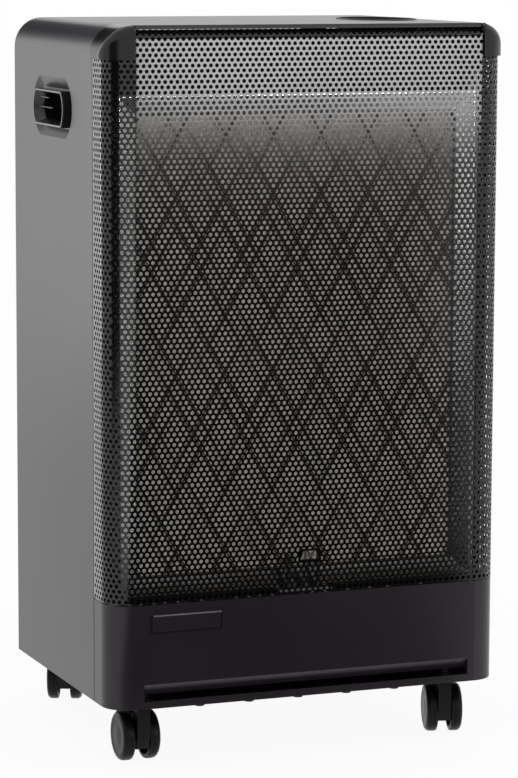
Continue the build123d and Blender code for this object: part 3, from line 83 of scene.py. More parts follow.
# The sensor's size counts along the longer side of the frame, which is its height.
lens.sensor_width = SENSOR_MM
lens.lens = FOCAL_PX / FRAME_HEIGHT_PX * lens.sensor_width
camera = bpy.data.objects.new("camera", lens)
bpy.context.scene.collection.objects.link(camera)
camera.location = CAMERA_PLACE
looking = Vector((
    math.sin(YAW) * math.cos(PITCH), math.cos(YAW) * math.cos(PITCH), -math.sin(PITCH),
))
camera.rotation_mode = "QUATERNION"
camera.rotation_quaternion = looking.to_track_quat("-Z", "Y") @ Quaternion((0, 0, 1), ROLL)
bpy.context.scene.camera = camera
bpy.context.scene.view_settings.view_transform = "Standard"
print("lens:", round(lens.lens, 1), "mm")

# %% [markdown]
# Linking nodes one by one takes many lines. One helper lets a socket be added and
# multiplied like a number, and another holds the node tree of a material, so that
# each finish below reads as a few lines of arithmetic.

# %% Socket arithmetic
class Wire:
    """A node socket that takes part in Python arithmetic by adding Math nodes."""

    def __init__(self, tree, socket):
        self.tree = tree
        self.socket = socket

    def math(self, operation, *values):
        """Adds a Math node whose inputs are sockets or plain numbers."""
        node = self.tree.nodes.new("ShaderNodeMath")
        node.operation = operation
        for slot_in, value in zip(node.inputs, values):
            if isinstance(value, Wire):
                self.tree.links.new(value.socket, slot_in)
            else:
                slot_in.default_value = value
        return Wire(self.tree, node.outputs[0])

    def __add__(self, other):
        return self.math("ADD", self, other)

    def __mul__(self, other):
        return self.math("MULTIPLY", self, other)

    def __sub__(self, other):
        return self.math("SUBTRACT", self, other)

    def above(self, edge):
        """One where the value is greater than the edge, nought elsewhere."""
        return self.math("GREATER_THAN", self, edge)

    def clamp(self):
        """The value, held between nought and one."""
        return self.math("MINIMUM", self.math("MAXIMUM", self, 0.0), 1.0)


class Finish:
    """A material whose shader is fed from nodes or plain values."""

    def __init__(self, name):
        self.material = bpy.data.materials.new(name)
        self.material.use_nodes = True
        self.tree = self.material.node_tree
        self.shader = self.tree.nodes["Principled BSDF"]
        self.place = self.node("ShaderNodeTexCoord", out="Object")

    def node(self, kind, out=0, settings=None, **sockets):
        """Adds a node, feeds its inputs and gives back one of its outputs."""
        made = self.tree.nodes.new(kind)
        for key, value in (settings or {}).items():
            setattr(made, key, value)
        for key, value in sockets.items():
            self.feed(made, key, value)
        return Wire(self.tree, made.outputs[out])

    def feed(self, made, key, value):
        """Finds an input by its name, or by its number as in i0, and links or sets it."""
        names = {s.name.replace(" ", "_"): s for s in made.inputs}
        index = int(key[1:]) if key[0] == "i" and key[1:].isdigit() else None
        target = made.inputs[index] if index is not None else names[key]
        if isinstance(value, Wire):
            self.tree.links.new(value.socket, target)
        else:
            target.default_value = value

    def set(self, **sockets):
        """Feeds inputs of the material's own shader."""
        for key, value in sockets.items():
            self.feed(self.shader, key, value)

    def noise(self, scale, detail=2.0, stretch=(1, 1, 1)):
        """Noise in the object's own space; a stretch above one makes its grain finer."""
        spread = self.node("ShaderNodeMapping", i0=self.place, Scale=stretch)
        return self.node(
            "ShaderNodeTexNoise", out="Fac", Vector=spread, Scale=scale, Detail=detail,
        )

    def tint(self, amount, low, high):
        """A colour between two, by an amount from nought to one."""
        return self.node(
            "ShaderNodeMix", out=2, settings={"data_type": "RGBA"},
            i0=amount, i6=(*low, 1), i7=(*high, 1),
        )

    def bump(self, height, depth, strength=1.0):
        """Tilts the surface by a height, of a depth in metres."""
        relief = self.node("ShaderNodeBump", Height=height, Distance=depth, Strength=strength)
        self.set(Normal=relief)


# %% [markdown]
# A pale floor and a white surround, as in a catalogue studio. Rays from the camera,
# and the ones that metal and gloss paint send out, see plain white. The other rays
# get softer light, so that the black enamel keeps its depth. Area lamps draw the long
# reflections, and black cards darken what the gloss paint mirrors beside them.

# %% Floor, surround and lamps
FLOOR_SHARE = 0.93
FLOOR_SIZE = 40.0


def deselect():
    """Leaves edit mode, if it is on, and selects nothing."""
    if bpy.context.object and bpy.context.object.mode != "OBJECT":
        bpy.ops.object.mode_set(mode="OBJECT")
    bpy.ops.object.select_all(action="DESELECT")


deselect()
bpy.ops.mesh.primitive_plane_add(size=FLOOR_SIZE)
floor = bpy.context.object
floor.name = "studio_floor"

floor_finish = Finish("studio_floor")
rays = floor_finish.tree.nodes.new("ShaderNodeLightPath")
seen = Wire(floor_finish.tree, rays.outputs["Is Camera Ray"])
mirrored = Wire(floor_finish.tree, rays.outputs["Is Glossy Ray"])
through = Wire(floor_finish.tree, rays.outputs["Is Transmission Ray"])
floor_finish.set(Base_Color=(0.86, 0.86, 0.86, 1), Roughness=0.9)
glow = floor_finish.node("ShaderNodeEmission", out=0, Color=(1, 1, 1, 1), Strength=1.0)
blend_floor = floor_finish.tree.nodes.new("ShaderNodeMixShader")
share = (seen * FLOOR_SHARE + mirrored + through).clamp()
floor_finish.tree.links.new(share.socket, blend_floor.inputs[0])
floor_finish.tree.links.new(floor_finish.shader.outputs[0], blend_floor.inputs[1])
floor_finish.tree.links.new(glow.socket, blend_floor.inputs[2])
surface = floor_finish.tree.nodes["Material Output"].inputs["Surface"]
floor_finish.tree.links.new(blend_floor.outputs[0], surface)
floor.data.materials.append(floor_finish.material)

SURROUND_LIGHT = 0.95
world = bpy.data.worlds.new("surround")
world.use_nodes = True
bpy.context.scene.world = world
sky = world.node_tree
sky_rays = sky.nodes.new("ShaderNodeLightPath")
sky_seen = Wire(sky, sky_rays.outputs["Is Camera Ray"])
sky_mirrored = Wire(sky, sky_rays.outputs["Is Glossy Ray"])
sky_through = Wire(sky, sky_rays.outputs["Is Transmission Ray"])
bare = (sky_seen + sky_mirrored + sky_through).clamp()
level = bare * (1.0 - SURROUND_LIGHT) + SURROUND_LIGHT
background = sky.nodes["Background"]
background.inputs["Color"].default_value = (1, 1, 1, 1)
sky.links.new(level.socket, background.inputs["Strength"])


def soft_box(name, centre, aim, width, height, radiance):
    """An area lamp of even brightness, facing a point."""
    lamp = bpy.data.lights.new(name, "AREA")
    lamp.shape = "RECTANGLE"
    lamp.size, lamp.size_y = width, height
    lamp.energy = radiance * math.pi * width * height
    box = bpy.data.objects.new(name, lamp)
    bpy.context.scene.collection.objects.link(box)
    box.location = centre
    box.rotation_mode = "QUATERNION"
    box.rotation_quaternion = (Vector(aim) - Vector(centre)).to_track_quat("-Z", "Y")
    box.visible_camera = False


# Each row: name, centre, the point it faces, width, height, radiance.
LAMPS = (
    ("front_strip", (1.18, -3.05, 0.615), (0.0, -0.18, 0.62), 0.76, 0.31, 10.5),
    ("left_strip", (-1.55, 2.60, 0.75), (-0.21, 0.0, 0.40), 0.40, 1.60, 2.5),
    ("low_fill", (0.25, -1.70, 0.06), (0.0, -0.14, 0.50), 0.90, 0.10, 10.0),
)
for row in LAMPS:
    soft_box(*row)
bpy.data.objects["low_fill"].visible_glossy = False


# The order in which a plane's four vertices go round it.
PLANE_ORDER = (0, 1, 3, 2)


def black_flag(name, corners):
    """A black card that only reflections see, as a studio hangs to darken gloss paint."""
    deselect()
    bpy.ops.mesh.primitive_plane_add(size=1.0)
    card = bpy.context.object
    card.name = name
    for index, corner in zip(PLANE_ORDER, corners):
        card.data.vertices[index].co = corner
    card.visible_camera = card.visible_diffuse = card.visible_shadow = False
    velvet = Finish(name)
    nap = velvet.noise(300.0, 2.0)
    velvet.set(
        Base_Color=velvet.tint(nap, (0.0, 0.0, 0.0), (0.004, 0.004, 0.004)),
        Roughness=1.0,
        Specular_IOR_Level=0.0,
    )
    card.data.materials.append(velvet.material)


FLAGS = {
    "floor_flag": [
        (-0.5, -0.35, 0.003), (0.25, -0.35, 0.003), (1.49, -3.0, 0.003), (-0.5, -3.0, 0.003),
    ],
    "front_flag": [
        (0.45, -3.06, 0.0), (1.47, -3.06, 0.0), (1.47, -3.06, 0.46), (0.45, -3.06, 0.46),
    ],
    "left_flag": [(-2.5, -2.0, 0.0), (-2.5, -0.3, 0.0), (-2.5, -0.3, 1.2), (-2.5, -2.0, 1.2)],
    "rear_flag": [(-1.1, 3.0, 1.15), (0.4, 3.0, 1.30), (0.4, 3.0, 2.27), (-1.1, 3.0, 2.27)],
}
for name, corners in FLAGS.items():
    black_flag(name, corners)
print("lamps:", len(LAMPS), "flags:", len(FLAGS))

# %% [markdown]
# The cabinet is folded steel with a baked satin black coat. Real stoved paint is
# never optically flat: it has a faint orange peel, and its gloss drifts a little
# from place to place, which is what makes a long reflection look like paint. The
# grille's clear lacquer fades in along Y: the flat front has none, and the legs that
# run back along the sides have all of it.

# %% Paints
LACQUER_SPAN = (-0.158, -0.148)
ORANGE_PEEL = 0.00002
PEEL_SCALE = 420.0


def stoved_paint(name, colour, roughness, specular, coat=0.0, peel=ORANGE_PEEL, lacquer_span=None):
    """Enamel with drifting gloss and orange peel; a lacquer coat may fade in along Y.

    The small factors below say how far each noise may move the tint and the gloss.
    """
    finish = Finish(name)
    if lacquer_span:
        start, full = lacquer_span
        inward = finish.node("ShaderNodeSeparateXYZ", out="Y", i0=finish.place)
        coat = ((inward - start) * (1.0 / (full - start))).clamp() * coat
    cloud = finish.noise(5.0, 3.0)
    fine = finish.noise(PEEL_SCALE, 2.0)
    dust = finish.noise(260.0, 1.0).above(0.80)
    low = tuple(c * 0.85 for c in colour)
    high = tuple(c * 1.2 + 0.0006 for c in colour)
    finish.set(
        Base_Color=finish.tint((cloud * 0.8 + dust * 0.4).clamp(), low, high),
        Roughness=(fine * 0.05 + cloud * 0.06 + (roughness - 0.055)),
        Specular_IOR_Level=specular,
        Coat_Weight=coat,
        Coat_Roughness=0.12,
    )
    finish.bump(fine, peel)
    return finish.material


CABINET_PAINT = stoved_paint(
    "cabinet_satin_black", (0.0100, 0.0110, 0.0160), 0.30, 0.50, coat=0.04, peel=0.000008,
)
GRILLE_PAINT = stoved_paint(
    "grille_black_enamel", (0.0030, 0.0030, 0.0034), 0.10, 0.50, coat=1.0, peel=0.00001,
    lacquer_span=LACQUER_SPAN,
)
PANEL_PAINT = stoved_paint("panel_black_enamel", (0.0110, 0.0078, 0.0118), 0.24, 0.40)
TRAY_PAINT = stoved_paint("tray_black", (0.0080, 0.0080, 0.0085), 0.45, 0.35)


def moulded_plastic(name, colour, roughness, specular=0.45, grain=900.0, depth=0.00003):
    """Plastic with the fine pebble that a mould leaves."""
    finish = Finish(name)
    pebble = finish.node(
        "ShaderNodeTexVoronoi", out="Distance", settings={"feature": "SMOOTH_F1"},
        Vector=finish.place, Scale=grain,
    )
    cloud = finish.noise(40.0, 2.0)
    finish.set(
        Base_Color=finish.tint(
            cloud, tuple(c * 0.8 for c in colour), tuple(c * 1.2 for c in colour),
        ),
        Roughness=cloud * 0.10 + (roughness - 0.05),
        Specular_IOR_Level=specular,
    )
    finish.bump(pebble, depth, 0.6)
    return finish.material


SLIGHT_GRAIN = 0.00001
CAP_PLASTIC = moulded_plastic("corner_cap_plastic", (0.0050, 0.0048, 0.0060), 0.20, 0.34)
# Painted highlight: the ribs belong to the black cup, and this lighter plastic stands for the
# light lines along their edges.
GRIP_RIB_PAINTED_HIGHLIGHT = moulded_plastic(
    "grip_rib_plastic", (0.030, 0.031, 0.036), 0.35, 0.5, 1200.0, SLIGHT_GRAIN,
)
HANDLE_PLASTIC = moulded_plastic(
    "handle_plastic", (0.006, 0.006, 0.007), 0.25, 0.5, 1200.0, SLIGHT_GRAIN,
)
TUB_PLASTIC = moulded_plastic("control_tub_plastic", (0.010, 0.010, 0.012), 0.42)
KNOB_PLASTIC = moulded_plastic(
    "knob_plastic", (0.012, 0.012, 0.013), 0.28, 0.5, 1500.0, SLIGHT_GRAIN,
)
BUTTON_PLASTIC = moulded_plastic(
    "button_plastic", (0.30, 0.018, 0.010), 0.25, 0.5, 1500.0, SLIGHT_GRAIN,
)
IGNITER_PLASTIC = moulded_plastic("igniter_plastic", (0.55, 0.53, 0.47), 0.45)
CASTOR_PLASTIC = moulded_plastic("castor_plastic", (0.0035, 0.0034, 0.0040), 0.34, 0.16)
WHEEL_PLASTIC = moulded_plastic(
    "wheel_plastic", (0.0035, 0.0033, 0.0038), 0.36, 0.14, 1400.0, SLIGHT_GRAIN,
)
MAGNET_BLOCK = moulded_plastic("magnet_block", (0.02, 0.02, 0.02), 0.6)
LEAD_SLEEVE = moulded_plastic("lead_sleeve", (0.50, 0.49, 0.45), 0.55)
print("materials so far:", len(bpy.data.materials))

# %% [markdown]
# Behind the grille are bare metals. Rolled sheet has fine parallel lines, so its
# roughness is made from noise that is stretched along one direction.

# %% Metals
EVEN = (1, 1, 1)


def rolled_metal(name, colour, roughness, stretch=(1, 1, 40), tarnish=None):
    """Bare metal with rolling lines and stains of its darker, tarnished colour."""
    finish = Finish(name)
    lines = finish.noise(60.0, 3.0, stretch)
    stain = finish.noise(14.0, 4.0)
    dull = tarnish or tuple(c * 0.7 for c in colour)
    finish.set(
        Base_Color=finish.tint((stain * 1.6 - 0.3).clamp(), colour, dull),
        Roughness=lines * 0.16 + stain * 0.10 + (roughness - 0.12),
        Metallic=1.0,
    )
    finish.bump(lines, 0.00002, 0.5)
    return finish.material


BURNER_STEEL = rolled_metal("burner_steel", (0.50, 0.49, 0.47), 0.42)
# The heat shield is given near-black steel.
NEAR_BLACK_SHIELD_STEEL = rolled_metal(
    "heat_blackened_steel", (0.030, 0.029, 0.028), 0.55, EVEN, (0.012, 0.010, 0.010),
)
RIM_STEEL = rolled_metal("handle_rim_satin", (0.22, 0.22, 0.24), 0.34, EVEN)
SHIELD_STEEL = rolled_metal("shield_galvanised", (0.58, 0.60, 0.62), 0.45, EVEN)
GUARD_STEEL = rolled_metal(
    "guard_wire_steel", (0.20, 0.18, 0.16), 0.45, (1, 1, 8), (0.10, 0.06, 0.04),
)
SOOTED_STEEL = rolled_metal("sooted_steel", (0.16, 0.14, 0.12), 0.5, (1, 1, 8), (0.06, 0.05, 0.04))
BRASS = rolled_metal("machined_brass", (0.74, 0.56, 0.26), 0.30, (1, 1, 60), (0.45, 0.30, 0.12))
PIPE_METAL = rolled_metal("pipe_aluminium", (0.70, 0.71, 0.72), 0.35)
COPPER = rolled_metal(
    "thermocouple_copper", (0.34, 0.20, 0.13), 0.38, (1, 1, 30), (0.14, 0.08, 0.055),
)
DARK_STEEL = rolled_metal("electrode_steel", (0.25, 0.24, 0.23), 0.45)
PIN_STEEL = rolled_metal("pin_steel", (0.55, 0.55, 0.56), 0.30, (1, 1, 60))
# Painted highlight: bright chrome, given only to the bar along the badge's upper edge.
BADGE_EDGE_PAINTED_HIGHLIGHT = rolled_metal("badge_chrome", (0.82, 0.82, 0.84), 0.12)
# Painted shade: the badge border's chrome, darkened so that it mirrors little.
BADGE_RIM_PAINTED_SHADE = rolled_metal(
    "badge_dark_chrome", (0.030, 0.028, 0.032), 0.20, EVEN, (0.02, 0.02, 0.02),
)
print("materials with the metals:", len(bpy.data.materials))

# %% [markdown]
# The reflector is aluminised steel. It looks almost white where it is clean, and the
# hot flue gas has browned its foot, so its colour follows the height.

# %% Aluminised reflector
def aluminised_sheet(name, clean, browned, foot, top):
    """Spangled sheet that is browned at its foot and clean above its top height."""
    finish = Finish(name)
    spangle = finish.node(
        "ShaderNodeTexVoronoi", out="Color", settings={"feature": "F1"},
        Vector=finish.place, Scale=240.0,
    )
    spangle_level = finish.node("ShaderNodeSeparateColor", out=0, i0=spangle)
    height = finish.node("ShaderNodeSeparateXYZ", out="Z", i0=finish.place)
    cloud = finish.noise(16.0, 4.0)
    risen = ((height - foot) * (1.0 / (top - foot)) + cloud * 0.3 - 0.15).clamp()
    finish.set(
        Base_Color=finish.tint(risen, browned, clean),
        Roughness=spangle_level * 0.06 + 0.12,
        Metallic=0.90,
    )
    finish.bump(spangle_level, 0.00001, 0.5)
    return finish.material


BROWNED_UP_TO, CLEAN_FROM = 0.175, 0.235
REFLECTOR_STEEL = aluminised_sheet(
    "reflector_aluminised", (0.90, 0.90, 0.89), (0.10, 0.085, 0.07), BROWNED_UP_TO, CLEAN_FROM,
)
print("reflector browned up to", BROWNED_UP_TO, "m")

# %% [markdown]
# The catalytic pad is a felt of ceramic fibre. A fine noise, drawn out along the
# height, makes the fibres, and a coarse one makes the stains that heat has left.

# %% Ceramic fibre
def ceramic_felt(name, pale, stained):
    """Rough felt with fibres and stains."""
    finish = Finish(name)
    fibre = finish.noise(900.0, 4.0, (1.0, 1.0, 0.35))
    stain = finish.noise(9.0, 3.0)
    finish.set(
        Base_Color=finish.tint((stain * 1.5 - 0.25 + fibre * 0.25).clamp(), pale, stained),
        Roughness=0.95,
        Specular_IOR_Level=0.15,
    )
    finish.bump(fibre, 0.0004, 0.8)
    return finish.material


PAD_FELT = ceramic_felt("catalytic_felt", (0.78, 0.725, 0.65), (0.62, 0.56, 0.49))
DIAL_WHITE = ceramic_felt("dial_marking", (0.80, 0.80, 0.78), (0.74, 0.74, 0.72))
BLANKET_FELT = ceramic_felt("blanket_felt", (0.75, 0.74, 0.70), (0.66, 0.64, 0.60))
print("materials in all:", len(bpy.data.materials))

# %% [markdown]
# Every node of the frame gets its finish by name. The castors come four times, so a
# loop fills in their rows, and the print lists any node that was left out.

# %% Give the frame's own nodes their finishes
CORNERS = ("front_left", "front_right", "rear_left", "rear_right")
DRESSING = {
    "cabinet_shell": CABINET_PAINT,
    "rear_cover": CABINET_PAINT,
    "lower_front_panel": PANEL_PAINT,
    "front_grille": GRILLE_PAINT,
    "base_tray": TRAY_PAINT,
    "badge_plate": PANEL_PAINT,
    "corner_cap_left": CAP_PLASTIC,
    "corner_cap_right": CAP_PLASTIC,
    "handle_insert_left": HANDLE_PLASTIC,
    "handle_insert_right": HANDLE_PLASTIC,
    "control_tub": TUB_PLASTIC,
    "control_knob": KNOB_PLASTIC,
    "igniter_button": BUTTON_PLASTIC,
    "igniter_body": IGNITER_PLASTIC,
    "cover_magnets": MAGNET_BLOCK,
    "burner_casing": BURNER_STEEL,
    "diffuser_plate": BURNER_STEEL,
    "reflector_frame": REFLECTOR_STEEL,
    "heat_shield": NEAR_BLACK_SHIELD_STEEL,
    "valve_plate": SHIELD_STEEL,
    "pilot_bracket": SHIELD_STEEL,
    "wire_guard": GUARD_STEEL,
    "catalytic_pad": PAD_FELT,
    "insulation_blanket": BLANKET_FELT,
    "gas_valve": BRASS,
    "hose_nozzle": BRASS,
    "injector_block": BRASS,
    "pilot_burner": SOOTED_STEEL,
    "burner_pipe": PIPE_METAL,
    "pilot_pipe": PIPE_METAL,
    "thermocouple": SOOTED_STEEL,
    "thermocouple_lead": COPPER,
    "ignition_electrode": DARK_STEEL,
    "ignition_lead": LEAD_SLEEVE,
    "hinge_pins": PIN_STEEL,
    "valve_spindle": PIN_STEEL,
    "castor_sockets": TRAY_PAINT,
}
for corner in CORNERS:
    DRESSING[f"castor_hood_{corner}"] = CASTOR_PLASTIC
    DRESSING[f"castor_stem_{corner}"] = PIN_STEEL
    DRESSING[f"castor_axle_{corner}"] = PIN_STEEL
    for hand in ("left", "right"):
        DRESSING[f"castor_wheel_{corner}_{hand}"] = WHEEL_PLASTIC
for name, node in NODES.items():
    node.data.materials.clear()
    node.data.materials.append(DRESSING[name])
print("nodes without a finish:", sorted(set(NODES) - set(DRESSING)))

# %% [markdown]
# The grille is one sheet of punched steel, wrapped round both front corners and
# rolled back at the top. It is made the way the factory does it: one hole is made
# flat, repeated in staggered rows, given its thickness, and bent at the very end.

# %% Punched sheet: one hole, then rows, then thickness
HOLE_RADIUS = 2.0 * MM
HOLE_PITCH = 6.25 * MM
ROW_STEP = 5.12 * MM
TILE_PEAK = ROW_STEP * 2 / 3
TILE_SIDE = ROW_STEP / 3
HOLE_SIDES = 12
OUTER_RING = 1.5
COLUMNS = 79
ROW_PAIRS = 55
SHEET_MM = 0.8
SHEET = SHEET_MM * MM
PUNCHED_FOOT = 168.5 * MM
SAME_PLACE = 1e-6


def pick(piece):
    """Makes one object the only selected one and the active one."""
    deselect()
    piece.select_set(True)
    bpy.context.view_layer.objects.active = piece


def new_piece(name, material, body="cabinet"):
    """Names the active object, gives it a finish and lets it ride on a body."""
    piece = bpy.context.object
    piece.name = name
    piece.data.name = name
    piece.data.materials.clear()
    piece.data.materials.append(material)
    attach(piece, body)
    return piece


def settle(piece):
    """Bakes the object's own place, turn and scale into its mesh."""
    pick(piece)
    bpy.ops.object.transform_apply(location=True, rotation=True, scale=True)


def apply_modifier(piece, kind, **settings):
    """Adds a modifier and applies it at once."""
    pick(piece)
    modifier = piece.modifiers.new(kind.lower(), kind)
    for key, value in settings.items():
        setattr(modifier, key, value)
    bpy.ops.object.modifier_apply(modifier=modifier.name)


def repeat(piece, count, step):
    """Copies a piece in a row and welds the copies where they touch."""
    apply_modifier(
        piece, "ARRAY", count=count, use_relative_offset=False, use_constant_offset=True,
        constant_offset_displace=step, use_merge_vertices=True, merge_threshold=SAME_PLACE,
    )


def join(pieces):
    """Joins the meshes into the first one."""
    deselect()
    for piece in pieces:
        piece.select_set(True)
    bpy.context.view_layer.objects.active = pieces[0]
    bpy.ops.object.join()
    return pieces[0]


def punched_tile(x, z):
    """A hexagonal tile of flat sheet with a round hole, lying in the XZ plane.

    The outer ring of vertices is moved onto the hexagon: one to each corner, and one
    to the middle of each side.
    """
    deselect()
    bpy.ops.mesh.primitive_circle_add(
        vertices=HOLE_SIDES, radius=HOLE_RADIUS, fill_type="NOTHING",
    )
    tile = bpy.context.object
    bpy.ops.object.mode_set(mode="EDIT")
    bpy.ops.mesh.select_all(action="SELECT")
    bpy.ops.mesh.extrude_region_move()
    bpy.ops.transform.resize(value=(OUTER_RING, OUTER_RING, OUTER_RING))
    bpy.ops.object.mode_set(mode="OBJECT")
    corners = []
    for k in range(6):
        turn = math.radians(60 * k + 30)
        at_right, at_left = math.cos(turn) > 0.5, math.cos(turn) < -0.5
        across = HOLE_PITCH / 2 * (at_right - at_left)
        along = TILE_PEAK if abs(across) < 1e-9 else TILE_SIDE
        corners.append(Vector((across, along * (1 if math.sin(turn) > 0 else -1), 0)))
    for vertex in tile.data.vertices:
        if vertex.co.length > HOLE_RADIUS * (1 + OUTER_RING) / 2:
            bearing = math.degrees(math.atan2(vertex.co.y, vertex.co.x))
            k = round(bearing / (360 / HOLE_SIDES)) % HOLE_SIDES
            if k % 2:
                vertex.co = corners[(k - 1) // 2]
            else:
                vertex.co = (corners[k // 2 - 1] + corners[k // 2]) / 2
    tile.rotation_euler = (math.pi / 2, 0, 0)
    tile.location = (x, 0, z)
    settle(tile)
    return tile


def edge_filler(x, z, side):
    """The half tile without a hole that makes a staggered row end straight."""
    deselect()
    bpy.ops.mesh.primitive_plane_add(size=1.0)
    filler = bpy.context.object
    for vertex in filler.data.vertices:
        outer = vertex.co.x * side > 0
        reach = TILE_PEAK if outer else TILE_SIDE
        vertex.co = Vector((
            side * HOLE_PITCH / 2 if outer else 0.0, reach if vertex.co.y > 0 else -reach, 0,
        ))
    filler.rotation_euler = (math.pi / 2, 0, 0)
    filler.location = (x, 0, z)
    settle(filler)
    return filler


first_x = -(COLUMNS - 1) / 2 * HOLE_PITCH
first_z = PUNCHED_FOOT + TILE_PEAK
even_row = punched_tile(first_x, first_z)
repeat(even_row, COLUMNS, (HOLE_PITCH, 0, 0))
odd_row = punched_tile(first_x + HOLE_PITCH / 2, first_z + ROW_STEP)
repeat(odd_row, COLUMNS - 1, (HOLE_PITCH, 0, 0))
fillers = [edge_filler(side * abs(first_x), first_z + ROW_STEP, side) for side in (-1, 1)]
punched = join([even_row, odd_row, *fillers])
repeat(punched, ROW_PAIRS, (0, 0, 2 * ROW_STEP))
print("flat sheet:", len(punched.data.polygons), "faces")

# %% [markdown]
# While the sheet is flat it is easy to cut, so the window and the corners that the
# caps cover come out first. Then it gets its thickness, and one function folds every
# point round the two front corners and over the top.

# %% Thickness, then the bends of the press brake
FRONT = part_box("lower_front_panel")[0].y
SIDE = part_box("cabinet_shell")[1].x
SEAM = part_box("lower_front_panel")[1].y
CORNER_RADIUS = 28 * MM
ROLL_RADIUS = 9 * MM
ROLL_START = 719.7 * MM
FLAT_HALF = SIDE - CORNER_RADIUS
ARC_LENGTH = CORNER_RADIUS * math.pi / 2


def edit(piece, select="SELECT"):
    """Opens a piece in edit mode with all of its mesh selected, or none of it."""
    pick(piece)
    bpy.ops.object.mode_set(mode="EDIT")
    bpy.ops.mesh.select_all(action=select)


def face_forward(piece):
    """Makes all the faces of a flat sheet look towards the front."""
    edit(piece)
    bpy.ops.mesh.remove_doubles(threshold=SAME_PLACE)
    bpy.ops.mesh.normals_make_consistent(inside=False)
    bpy.ops.object.mode_set(mode="OBJECT")
    if piece.data.polygons[0].normal.y > 0:
        edit(piece)
        bpy.ops.mesh.flip_normals()
        bpy.ops.object.mode_set(mode="OBJECT")


def delete_faces(piece, unwanted):
    """Deletes the faces whose middle the test names."""
    edit(piece, "DESELECT")
    bpy.ops.mesh.select_mode(type="FACE")
    bpy.ops.object.mode_set(mode="OBJECT")
    for polygon in piece.data.polygons:
        polygon.select = unwanted(polygon.center)
    bpy.ops.object.mode_set(mode="EDIT")
    bpy.ops.mesh.delete(type="FACE")
    bpy.ops.mesh.select_mode(type="VERT")
    bpy.ops.object.mode_set(mode="OBJECT")


WINDOW_HALF = 10.8 * MM
WINDOW_LOW, WINDOW_HIGH = 201.3 * MM, 212.0 * MM
CAP_HALF = 187.5 * MM
CAP_FOOT = 703.5 * MM


def not_punched(middle):
    """Whether a face of the flat sheet is cut away, for the window or under a cap."""
    in_window = abs(middle.x) < WINDOW_HALF and WINDOW_LOW < middle.z < WINDOW_HIGH
    behind_cap = abs(middle.x) > CAP_HALF and middle.z > CAP_FOOT
    return in_window or behind_cap


def bent(place):
    """Where a point of the flat sheet goes when the sheet is folded round the cabinet."""
    across, inward, up = place
    side = 1 if across > 0 else -1
    run = abs(across) - FLAT_HALF
    if run > ARC_LENGTH:
        return Vector((side * (SIDE - inward), FRONT + CORNER_RADIUS + run - ARC_LENGTH, up))
    if run > 0:
        turn = run / CORNER_RADIUS
        reach = CORNER_RADIUS - inward
        return Vector((
            side * (FLAT_HALF + reach * math.sin(turn)),
            FRONT + CORNER_RADIUS - reach * math.cos(turn),
            up,
        ))
    if up > ROLL_START:
        turn = (up - ROLL_START) / ROLL_RADIUS
        reach = ROLL_RADIUS - inward
        return Vector((
            across,
            FRONT + ROLL_RADIUS - reach * math.cos(turn),
            ROLL_START + reach * math.sin(turn),
        ))
    return Vector((across, FRONT + inward, up))


face_forward(punched)
delete_faces(punched, not_punched)
apply_modifier(punched, "SOLIDIFY", thickness=SHEET, offset=-1.0)
for vertex in punched.data.vertices:
    vertex.co = bent(vertex.co)
punched.data.update()


def cut_off(piece, wanted):
    """Separates the faces that the test names into an object of their own."""
    edit(piece, "DESELECT")
    bpy.ops.mesh.select_mode(type="FACE")
    bpy.ops.object.mode_set(mode="OBJECT")
    for polygon in piece.data.polygons:
        polygon.select = wanted(polygon.center)
    before = set(bpy.data.objects)
    bpy.ops.object.mode_set(mode="EDIT")
    bpy.ops.mesh.separate(type="SELECTED")
    bpy.ops.mesh.select_mode(type="VERT")
    bpy.ops.object.mode_set(mode="OBJECT")
    return (set(bpy.data.objects) - before).pop()


END_FROM = 118 * MM
parts_of_grille = {
    "grille_right_end": cut_off(punched, lambda c: c.x > END_FROM),
    "grille_right": cut_off(punched, lambda c: c.x > 0),
    "grille_left_end": cut_off(punched, lambda c: c.x < -END_FROM),
    "grille_left": punched,
}
for name, piece in parts_of_grille.items():
    pick(piece)
    new_piece(name, GRILLE_PAINT)
    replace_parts(piece, "front_grille")
    print(name, sum(len(p.vertices) - 2 for p in piece.data.polygons), "triangles")

# %% [markdown]
# Along its edges the punched sheet has a plain margin: a narrow strip beside each
# seam, folded inward at its end, and a foot that closes the saw-tooth of the lowest
# row.

# %% Plain margins of the punched sheet
MARGIN_MM = 1.3
RETURN_MM = 6


def box_piece(name, low, high, material, body="cabinet", bevel=0.0):
    """A box between two corners (millimetres), with its edges bevelled by a width."""
    deselect()
    bpy.ops.mesh.primitive_cube_add(size=1.0)
    box = bpy.context.object
    low, high = Vector(low) * MM, Vector(high) * MM
    box.scale = high - low
    box.location = (low + high) / 2
    settle(box)
    if bevel:
        apply_modifier(box, "BEVEL", width=bevel * MM, segments=2, limit_method="NONE")
    return new_piece(name, material, body)


front_mm, side_mm, seam_mm = FRONT / MM, SIDE / MM, SEAM / MM
for side, hand in ((-1, "left"), (1, "right")):
    outer, inner = side * side_mm, side * (side_mm - SHEET_MM)
    folded = side * (side_mm - RETURN_MM)
    low = (min(outer, inner), seam_mm - MARGIN_MM, PUNCHED_FOOT / MM)
    high = (max(outer, inner), seam_mm, CAP_FOOT / MM)
    box_piece(f"grille_margin_{hand}", low, high, GRILLE_PAINT)
    low = (min(folded, inner), seam_mm - SHEET_MM, PUNCHED_FOOT / MM)
    high = (max(folded, inner), seam_mm, CAP_FOOT / MM)
    box_piece(f"grille_return_{hand}", low, high, GRILLE_PAINT)


